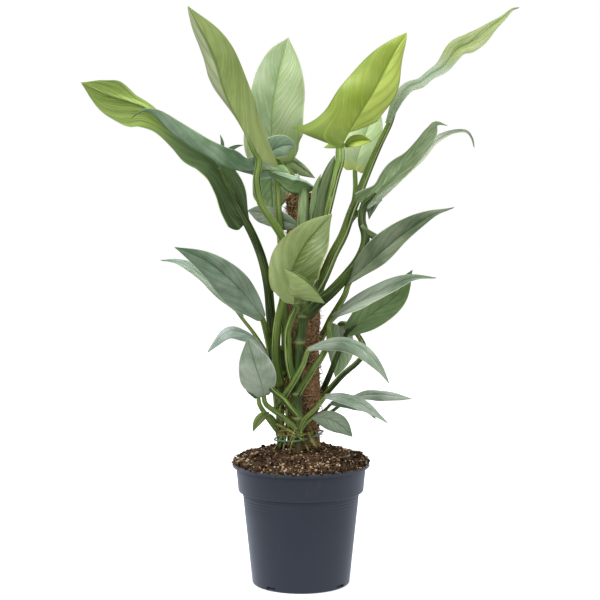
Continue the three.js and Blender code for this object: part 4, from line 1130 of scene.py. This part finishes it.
# The coir pole: a lumpy core with its fibres lying over each other, of which the first ones stand off loosely
coir = {"foot": (3.5, 6, 14), "top": (2, 6, 484), "radius": 19.2, "bulge": 1.6, "bulgePitch": 86,
        "bulgeTop": 247, "lump": 0.7, "lumpSin": (3, 23), "lumpCos": (5, 41), "fuzz": 0.8, "fuzzAround": 3,
        "fuzzAlong": 70, "fuzzNoise": (0.8, 2, 4), "dome": 4, "end": 0.995, "sides": 72, "step": 2.2,
        "coreTone": 0.35, "seed": 4, "fibres": 2600, "fibre": (14, 30), "fibreThick": 0.5, "fibreBend": 0.55,
        "fibreShare": 0.7, "tuck": 2, "tilt": 0.9, "lift": (-0.05, 0.25), "over": (-0.2, 0.7), "lowest": 160,
        "loose": 300, "looseLift": (0.5, 1.4), "looseShare": 0.45}
coirLook = {"deep": paint(52, 37, 26), "fibre": paint(190, 148, 106), "light": paint(255, 228, 182),
            "grain": (420, 4, 0.65), "grainShare": 0.6, "toneShare": 0.5, "darker": 0.05,
            "fibreBand": (0.28, 0.5), "lightBand": (0.48, 0.74), "bump": (0.0012, 0.8)}


def coirFinish(name):
    look = coirLook
    finish = Finish(name, {"Specular IOR Level": 0.2, "Roughness": 0.85})
    grain = finish.noise(finish.place(), *look["grain"])
    shade = grain * look["grainShare"] + finish.tone() * look["toneShare"] - look["darker"]
    skin = finish.lay(look["deep"], [(finish.smooth(shade, *look["fibreBand"]), look["fibre"]),
                                     (finish.smooth(shade, *look["lightBand"]), look["light"])])
    finish.feed(finish.shader, {"Base Color": skin})
    finish.bump(grain, *look["bump"])
    return finish.material


def coirPole():
    draw = random.Random(coir["seed"])
    bm = newBody()
    path = Path([coir["foot"], coir["top"]])

    def radiusAt(s, angle):
        z = lerp(coir["foot"][2], coir["top"][2], s)
        size = coir["radius"]
        size += coir["bulge"] * math.cos(2 * math.pi * (z - coir["bulgeTop"]) / coir["bulgePitch"])
        first, second = coir["lumpSin"], coir["lumpCos"]
        lump = coir["lump"] * math.sin(first[0] * angle + first[1] * s)
        size += lump * math.cos(second[0] * angle - second[1] * s)
        wide = coir["fuzzAround"]
        spot = Vector((math.cos(angle) * wide, math.sin(angle) * wide, s * coir["fuzzAlong"]))
        size += coir["fuzz"] * noise.fractal(spot, *coir["fuzzNoise"])
        return size - (coir["dome"] if s > coir["end"] else 0)

    made = tube(bm, path, round(path.length / coir["step"]), coir["sides"], radiusAt, front)
    setTone(bm, made, coir["coreTone"])
    finishPiece("coir_pole_core", bm, [coirFinish("coir_core")], "coir", "coir_pole")

    bm = newBody()
    for index in range(coir["fibres"]):
        s = draw.uniform((coir["lowest"] - coir["foot"][2]) / path.length, coir["end"])
        angle = draw.uniform(-math.pi, math.pi)
        out = Vector((math.sin(angle), -math.cos(angle), 0))
        side = Vector((math.cos(angle), math.sin(angle), 0))
        tilt = draw.gauss(0, coir["tilt"])
        heading = side * math.cos(tilt) + Vector((0, 0, 1)) * math.sin(tilt)
        heading += out * draw.uniform(*coir["lift"])
        spot = path.spot(s) + out * (coir["radius"] + draw.uniform(*coir["over"]))
        share = coir["fibreShare"]
        if index < coir["loose"]:
            heading += out * draw.uniform(*coir["looseLift"])
            share = coir["looseShare"]
        length = draw.uniform(*coir["fibre"]) * share
        start = spot - heading * coir["tuck"]
        strand(bm, draw, start, heading, length, coir["fibreThick"], coir["fibreBend"], draw.random())
    finishPiece("coir_pole_fibres", bm, [coirFinish("coir_fibre")], "coir")


coirPole()
print("coir pole made")

# The nursery pot, in millimetres: the radius and height of each corner of its profile, first under its foot,
# then its body from foot to shoulder, its collar and lip, and its inside down to the floor. "corner" is how
# round a corner gets, "flat" the bend in radians below which it counts as straight
potShape = {"height": 151, "under": [(0, 2.4), (53.5, 2.4), (54.5, 0), (58.8, 0)], "foot": (60.5, 1.6),
            "shoulder": (72.5, 115.6), "rows": 90, "steps": 180,
            "collar": [(77.2, 116.3), (77.6, 117), (80.3, 147.2)],
            "lip": [(83.8, 147.6), (84.4, 146.6), (85, 147.4), (85, 150.1), (84.1, 151)],
            "inside": [(79.7, 151), (78.7, 149.6), (76, 118.2), (71.3, 116.8), (70.4, 112.6), (59.2, 4.6)],
            "floor": [(58.3, 4), (0, 4)], "corner": 1.1, "flat": 0.12, "cornerShare": 0.45, "sharp": 38,
            "grooves": (96, 112), "groovePitch": 4, "grooveDepth": 0.6,
            "slots": 4, "slotTurn": -37.3, "slotWidth": 13.6, "slotHeight": 3.6, "slotFoot": 1.9,
            "slotDepth": 3.5}
potLook = {"dark": paint(46, 54, 69), "pale": paint(61, 70, 87), "scuff": paint(104, 108, 120),
           "dust": paint(96, 84, 76), "sheen": paint(225, 235, 255), "cloud": (9, 3), "fine": (700, 2),
           "squeeze": (1, 1, 0.25), "scuffs": (120, 4, 0.7), "scuffBand": (0.62, 0.8), "scuffStrength": 0.3,
           "dustHeight": (0.1, 0.151), "dustBand": (0.5, 0.72), "dustStrength": 0.25, "rough": 0.36,
           "roughCloud": 0.1, "roughScuff": 0.12, "relief": 0.5, "bump": (0.00012, 0.35)}


def potProfile():
    p = potShape
    outside = p["under"] + [p["foot"]]
    for k in range(1, p["rows"]):
        z = lerp(p["foot"][1], p["shoulder"][1], k / p["rows"])
        radius = lerp(p["foot"][0], p["shoulder"][0], k / p["rows"])
        if p["grooves"][0] < z < p["grooves"][1]:
            radius -= p["grooveDepth"] * (1 - abs(math.sin(math.pi * z / p["groovePitch"]))) ** 2
        outside.append((radius, z))
    return outside + [p["shoulder"]] + p["collar"] + p["lip"] + p["inside"] + p["floor"]


# Rounds each sharp corner of a profile with a short arc
def rounded(profile):
    made = [Vector(profile[0])]
    for before, corner, after in zip(profile, profile[1:], profile[2:]):
        before, corner, after = Vector(before), Vector(corner), Vector(after)
        into, out = before - corner, after - corner
        if into.angle(-out) < potShape["flat"]:
            made.append(corner)
            continue
        share = potShape["cornerShare"]
        reach = min(potShape["corner"], into.length * share, out.length * share)
        start, end = corner + into.normalized() * reach, corner + out.normalized() * reach
        made += [start, (start + corner * 2 + end) / 4, end]
    return made + [Vector(profile[-1])]


# The blocks that cut the drainage slots, as an object of their own
def slotCutter():
    p = potShape
    cutters = bmesh.new()
    middle = Vector((0, -p["foot"][0], p["slotFoot"] + p["slotHeight"] / 2)) * mm
    for k in range(p["slots"]):
        cube = bmesh.ops.create_cube(cutters, size=mm)["verts"]
        bmesh.ops.scale(cutters, vec=(p["slotWidth"], 2 * p["slotDepth"], p["slotHeight"]), verts=cube)
        bmesh.ops.translate(cutters, vec=middle, verts=cube)
        turn = Quaternion((0, 0, 1), math.radians(p["slotTurn"] + 360 * k / p["slots"])).to_matrix()
        bmesh.ops.rotate(cutters, cent=(0, 0, 0), matrix=turn, verts=cube)
    mesh = bpy.data.meshes.new("slots")
    cutters.to_mesh(mesh)
    cutters.free()
    cutter = bpy.data.objects.new("slots", mesh)
    bpy.context.scene.collection.objects.link(cutter)
    return cutter


def pot(finish):
    p = potShape
    bm = newBody()
    corners = [bm.verts.new((radius * mm, 0, z * mm)) for radius, z in rounded(potProfile())]
    line = [bm.edges.new(pair) for pair in zip(corners, corners[1:])]
    bmesh.ops.spin(bm, geom=corners + line, axis=(0, 0, 1), cent=(0, 0, 0), angle=2 * math.pi,
                   steps=p["steps"], use_merge=True)
    bmesh.ops.remove_doubles(bm, verts=bm.verts, dist=weld)
    piece = finishPiece("nursery_pot", bm, [finish], "pot_plastic", "pot")
    cutter = slotCutter()
    cut = piece.modifiers.new("slots", "BOOLEAN")
    cut.operation = "DIFFERENCE"
    cut.solver = "EXACT"
    cut.object = cutter
    graph = bpy.context.evaluated_depsgraph_get()
    made = bpy.data.meshes.new_from_object(piece.evaluated_get(graph))
    piece.modifiers.clear()
    piece.data = made
    bpy.data.objects.remove(cutter)
    made.shade_smooth()
    made.set_sharp_from_angle(angle=math.radians(p["sharp"]))


def potFinish(look):
    plastic = Finish("pot_plastic", {"Specular IOR Level": 0.5, "Sheen Weight": 1.0, "Sheen Roughness": 0.45,
                                      "Sheen Tint": look["sheen"]})
    cloud = plastic.noise(plastic.place(), *look["cloud"])
    fine = plastic.noise(plastic.place(), *look["fine"])
    scuff = plastic.noise(plastic.place(look["squeeze"]), *look["scuffs"])
    dust = plastic.smooth(plastic.height(), *look["dustHeight"]) * plastic.smooth(scuff, *look["dustBand"])
    skin = plastic.lay(look["dark"], [
        (cloud, look["pale"]),
        (plastic.smooth(scuff, *look["scuffBand"]) * look["scuffStrength"], look["scuff"]),
        (dust * look["dustStrength"], look["dust"])])
    rough = cloud * look["roughCloud"] + look["rough"] + scuff * look["roughScuff"]
    plastic.feed(plastic.shader, {"Base Color": skin, "Roughness": rough})
    plastic.bump(fine + scuff * look["relief"], *look["bump"])
    return plastic.material


pot(potFinish(potLook))
print("pot made")

# The soil's bed: its top profile as radius and rise above the rim, with broad waves and a rough grain on it
soilShape = {"top": [(83.3, 2.5), (78, 5), (66, 9), (48, 14), (27, 18.5), (0, 20)], "edge": 83, "lump": 1.6,
             "wave": (7.3, 8.1), "waveShift": 1, "smallWave": (3.9, 4.7), "smallShare": 0.7, "lumpCalm": 5,
             "rough": 1.5, "roughPitch": 0.16, "roughNoise": (0.7, 2.1, 5), "roughCalm": 3, "grid": 110,
             "gap": 0.3, "inset": 0.4, "tone": 0.3}
# What lies on it. "band" is the radii near the rim, to which the share "rim" of them keeps, "spread" how far
# round from the front they lie, "lift" how far they stand up, "squeeze" and "dent" how uneven a crumb is
litter = {"seed": 11, "band": (76, 83.5), "dent": (0.78, 1.2), "turn": 3,
          "crumbs": {"count": 3200, "size": (0.7, 2.2), "sizes": (0.6, 0.8, 1), "rim": 0.2, "lift": 0.2,
                     "detail": 1, "squeeze": 0.5, "tonePower": 1.8},
          "rimBits": {"count": 260, "size": (0.6, 1.6), "spread": 1.1, "band": (81, 85.4),
                      "lift": (-0.6, 1.6), "detail": 1, "squeeze": 0.5, "tonePower": 1.5},
          "perlite": {"count": 150, "size": (0.5, 1.3), "rim": 0.25, "lift": 0.7, "detail": 2,
                      "squeeze": 0.25},
          "fibres": {"count": 420, "length": (8, 22), "share": 0.6, "thick": 0.3, "bend": 0.5, "rim": 0.35,
                     "lift": 0.8, "climb": (-0.1, 0.3), "tone": (0.5, 1)},
          "spill": {"count": 60, "length": (5, 10), "thick": 0.3, "bend": 0.7, "spread": 1.2,
                    "band": (79, 83), "lift": 1.5, "out": (0.2, 1), "aside": (-1, 1),
                    "climb": (-0.9, 0.1), "tone": (0.4, 1)}}
soilLook = {"deep": paint(28, 20, 15), "earth": paint(94, 71, 52), "light": paint(230, 198, 150),
            "grain": (260, 5, 0.7), "patch": (40, 2), "grainShare": 0.5, "toneShare": 0.65, "patchShare": 0.4,
            "earthBand": (0.2, 0.55), "lightBand": (0.62, 0.95), "bump": (0.001, 0.8)}
perliteLook = {"dark": paint(206, 196, 176), "pale": paint(246, 242, 232), "grain": (900, 3),
               "toneShare": 0.3, "paleBand": (0.35, 0.8), "bump": (0.0006, 0.6)}


def soilTop(x, y):
    s = soilShape
    profile = s["top"]
    edge = profile[0][0]
    radius = min(math.hypot(x, y), edge)
    for (outer, low), (inner, high) in zip(profile, profile[1:]):
        if radius >= inner:
            rise = lerp(low, high, (outer - radius) / (outer - inner))
            break
    lump = math.sin(x / s["wave"][0] + s["waveShift"]) * math.cos(y / s["wave"][1])
    lump += s["smallShare"] * math.sin(x / s["smallWave"][0] - y / s["smallWave"][1])
    return potShape["height"] + rise + s["lump"] * lump * min((edge - radius) / s["lumpCalm"], 1)


def soilBed(finish):
    s = soilShape
    bm = newBody()
    edge = s["top"][0][0]
    grid = bmesh.ops.create_grid(bm, x_segments=s["grid"], y_segments=s["grid"], size=1)["verts"]
    for vert in grid:
        x, y = vert.co.x, vert.co.y
        place = Vector((x * math.sqrt(1 - y * y / 2), y * math.sqrt(1 - x * x / 2), 0)) * edge
        calm = min((edge - place.length) / s["roughCalm"], 1)
        rough = noise.fractal(place * s["roughPitch"], *s["roughNoise"]) * s["rough"] * calm
        vert.co = Vector((place.x, place.y, soilTop(place.x, place.y) + rough)) * mm
    rings = [(s["edge"], potShape["height"] + s["gap"])]
    rings += [(radius - s["inset"], z + s["gap"]) for radius, z in potShape["inside"] + potShape["floor"][:1]]
    for radius, z in rings:
        border = [line for line in bm.edges if line.is_boundary]
        made = bmesh.ops.extrude_edge_only(bm, edges=border)["geom"]
        for vert in made:
            if isinstance(vert, bmesh.types.BMVert):
                flat = Vector((vert.co.x, vert.co.y, 0)).normalized() * radius
                vert.co = Vector((flat.x, flat.y, z)) * mm
    bmesh.ops.holes_fill(bm, edges=[line for line in bm.edges if line.is_boundary])
    setTone(bm, bm.verts, s["tone"])
    finishPiece("soil_bed", bm, [finish], "soil", "soil")


def onSoil(draw, kind):
    angle = draw.uniform(0, 2 * math.pi)
    if draw.random() > kind["rim"]:
        radius = soilShape["edge"] * math.sqrt(draw.random())
    else:
        radius = draw.uniform(*litter["band"])
    x, y = radius * math.cos(angle), radius * math.sin(angle)
    return Vector((x, y, soilTop(x, y)))


def above(height):
    return Vector((0, 0, height))


def crumb(bm, draw, spot, size, kind, tone):
    squeeze = kind["squeeze"]
    stretch = Vector([draw.uniform(1 - squeeze, 1 + squeeze) for axis in range(3)])
    axle = Vector([draw.gauss(0, 1) for axis in range(3)]).normalized()
    turn = Quaternion(axle, draw.uniform(0, litter["turn"])).to_matrix()

    def build(small):
        ball = bmesh.ops.create_icosphere(small, subdivisions=kind["detail"], radius=size * mm)["verts"]
        for vert in ball:
            bent = Vector([a * b for a, b in zip(vert.co, stretch)]) * draw.uniform(*litter["dent"])
            vert.co = turn @ bent + spot * mm

    addSmall(bm, build, tone)


def soilLitter(finish, white):
    draw = random.Random(litter["seed"])
    bm = newBody()
    kind = litter["crumbs"]
    for index in range(kind["count"]):
        size = draw.uniform(*kind["size"]) * draw.choice(kind["sizes"])
        spot = onSoil(draw, kind) + above(size * kind["lift"])
        crumb(bm, draw, spot, size, kind, draw.random() ** kind["tonePower"])
    kind = litter["rimBits"]
    for index in range(kind["count"]):
        angle = draw.gauss(-math.pi / 2, kind["spread"])
        radius = draw.uniform(*kind["band"])
        height = potShape["height"] + draw.uniform(*kind["lift"])
        spot = Vector((radius * math.cos(angle), radius * math.sin(angle), height))
        crumb(bm, draw, spot, draw.uniform(*kind["size"]), kind, draw.random() ** kind["tonePower"])
    finishPiece("soil_crumbs", bm, [finish], "soil", tidy=False)
    bm = newBody()
    kind = litter["perlite"]
    for index in range(kind["count"]):
        size = draw.uniform(*kind["size"])
        crumb(bm, draw, onSoil(draw, kind) + above(size * kind["lift"]), size, kind, draw.random())
    finishPiece("perlite_grains", bm, [white], "soil", tidy=False)
    bm = newBody()
    kind = litter["fibres"]
    for index in range(kind["count"]):
        spot = onSoil(draw, kind) + above(kind["lift"])
        heading = Vector((draw.gauss(0, 1), draw.gauss(0, 1), draw.uniform(*kind["climb"])))
        length = draw.uniform(*kind["length"]) * kind["share"]
        strand(bm, draw, spot, heading, length, kind["thick"], kind["bend"], draw.uniform(*kind["tone"]))
    kind = litter["spill"]
    for index in range(kind["count"]):
        angle = draw.gauss(-math.pi / 2, kind["spread"])
        out = Vector((math.cos(angle), math.sin(angle), 0))
        spot = out * draw.uniform(*kind["band"]) + above(potShape["height"] + kind["lift"])
        heading = out * draw.uniform(*kind["out"])
        heading += Vector((draw.uniform(*kind["aside"]), 0, draw.uniform(*kind["climb"])))
        length = draw.uniform(*kind["length"])
        strand(bm, draw, spot, heading, length, kind["thick"], kind["bend"], draw.uniform(*kind["tone"]))
    finishPiece("soil_fibres", bm, [finish], "soil")


def soilFinish(look):
    soil = Finish("soil", {"Specular IOR Level": 0.15, "Roughness": 0.95})
    grain = soil.noise(soil.place(), *look["grain"])
    patch = soil.noise(soil.place(), *look["patch"])
    shade = grain * look["grainShare"] + soil.tone() * look["toneShare"] + (patch - 0.5) * look["patchShare"]
    skin = soil.lay(look["deep"], [(soil.smooth(shade, *look["earthBand"]), look["earth"]),
                                   (soil.smooth(shade, *look["lightBand"]), look["light"])])
    soil.feed(soil.shader, {"Base Color": skin})
    soil.bump(grain, *look["bump"])
    return soil.material


def perliteFinish(look):
    white = Finish("perlite", {"Specular IOR Level": 0.25, "Roughness": 0.85})
    grain = white.noise(white.place(), *look["grain"])
    share = white.smooth(grain + white.tone() * look["toneShare"], *look["paleBand"])
    white.feed(white.shader, {"Base Color": white.mix(share, look["dark"], look["pale"])})
    white.bump(grain, *look["bump"])
    return white.material


soilSkin = soilFinish(soilLook)
soilBed(soilSkin)
soilLitter(soilSkin, perliteFinish(perliteLook))
print("soil made")

# The soft tie round the stems and the pole, near the soil
tie = {"path": [(-4, -33.5, 183), (-22, -23, 181), (-32.5, -6, 180), (-27, 17, 180), (-8, 37, 181),
                (14, 44, 183), (27, 30, 185), (25.5, 6, 187), (16, -20, 186)],
       "radius": 1.1, "rings": 140, "sides": 12}
tieLook = {"dark": paint(52, 124, 88), "pale": paint(128, 190, 156), "streak": (260, 2), "rough": 0.28,
           "roughStreak": 0.1, "bump": (0.0002, 0.3)}


def tieFinish(look):
    skin = Finish("tie_plastic", {"Specular IOR Level": 0.5})
    streak = skin.noise(skin.place(), *look["streak"])
    colour = skin.mix(streak, look["dark"], look["pale"])
    skin.feed(skin.shader, {"Base Color": colour, "Roughness": streak * look["roughStreak"] + look["rough"]})
    skin.bump(streak, *look["bump"])
    return skin.material


def plantTie():
    bm = newBody()
    path = Path(tie["path"], closed=True)

    def place(k, i):
        t = path.share((i % tie["rings"]) / tie["rings"])
        along = path.heading(t)
        up = (Vector((0, 0, 1)) - along * along.z).normalized()
        angle = 2 * math.pi * (k % tie["sides"]) / tie["sides"]
        return path.at(t) + (up * math.cos(angle) + along.cross(up) * math.sin(angle)) * tie["radius"]

    wrapGrid(bm, tie["sides"], tie["rings"], place)
    finishPiece("plant_tie_loop", bm, [tieFinish(tieLook)], "tie", "plant_tie")


plantTie()
print("tie made")

# A plain pale floor and soft studio light, in metres. "sky" is what lights the plant, "seenSky" what is seen
studio = {"floor": 6, "floorPaint": paint(250, 250, 250), "floorRough": 0.9, "floorGlow": 0.75,
          "skyPaint": paint(255, 255, 255), "sky": 0.42, "seenSky": 1.0, "aim": (0, 0, 0.4), "lamps": [
              {"name": "top", "at": (-0.2, -0.3, 2.1), "size": 1.0, "watts": 25},
              {"name": "key", "at": (-1.3, -1.7, 1.6), "size": 1.2, "watts": 13},
              {"name": "fill", "at": (1.7, -1.4, 1.0), "size": 1.2, "watts": 5},
              {"name": "back", "at": (0.5, 1.6, 1.8), "size": 1.3, "watts": 12},
          ]}


def buildFloor():
    bm = bmesh.new()
    bmesh.ops.create_grid(bm, x_segments=1, y_segments=1, size=studio["floor"])
    mesh = bpy.data.meshes.new("floor")
    bm.to_mesh(mesh)
    bm.free()
    floor = bpy.data.objects.new("floor", mesh)
    bpy.context.scene.collection.objects.link(floor)
    floor.visible_diffuse = False
    floor.visible_glossy = False
    glow = {"Base Color": studio["floorPaint"], "Roughness": studio["floorRough"],
            "Emission Color": studio["floorPaint"], "Emission Strength": studio["floorGlow"]}
    mesh.materials.append(Finish("floor", glow).material)


def buildStudio():
    world = bpy.data.worlds.new("studio")
    bpy.context.scene.world = world
    world.use_nodes = True
    sky = world.node_tree.nodes["Background"]
    sky.inputs["Color"].default_value = studio["skyPaint"]
    seen = world.node_tree.nodes.new("ShaderNodeLightPath").outputs["Is Camera Ray"]
    strength = world.node_tree.nodes.new("ShaderNodeMapRange")
    strength.inputs["To Min"].default_value = studio["sky"]
    strength.inputs["To Max"].default_value = studio["seenSky"]
    world.node_tree.links.new(seen, strength.inputs["Value"])
    world.node_tree.links.new(strength.outputs[0], sky.inputs["Strength"])
    for lamp in studio["lamps"]:
        light = bpy.data.lights.new(lamp["name"], "AREA")
        light.shape = "DISK"
        light.size = lamp["size"]
        light.energy = lamp["watts"]
        holder = bpy.data.objects.new(lamp["name"], light)
        holder.location = lamp["at"]
        facing = Vector(studio["aim"]) - Vector(lamp["at"])
        holder.rotation_euler = facing.to_track_quat("-Z", "Y").to_euler()
        bpy.context.scene.collection.objects.link(holder)
    bpy.context.scene.view_settings.view_transform = "Standard"


buildFloor()
buildStudio()
print("studio lit")
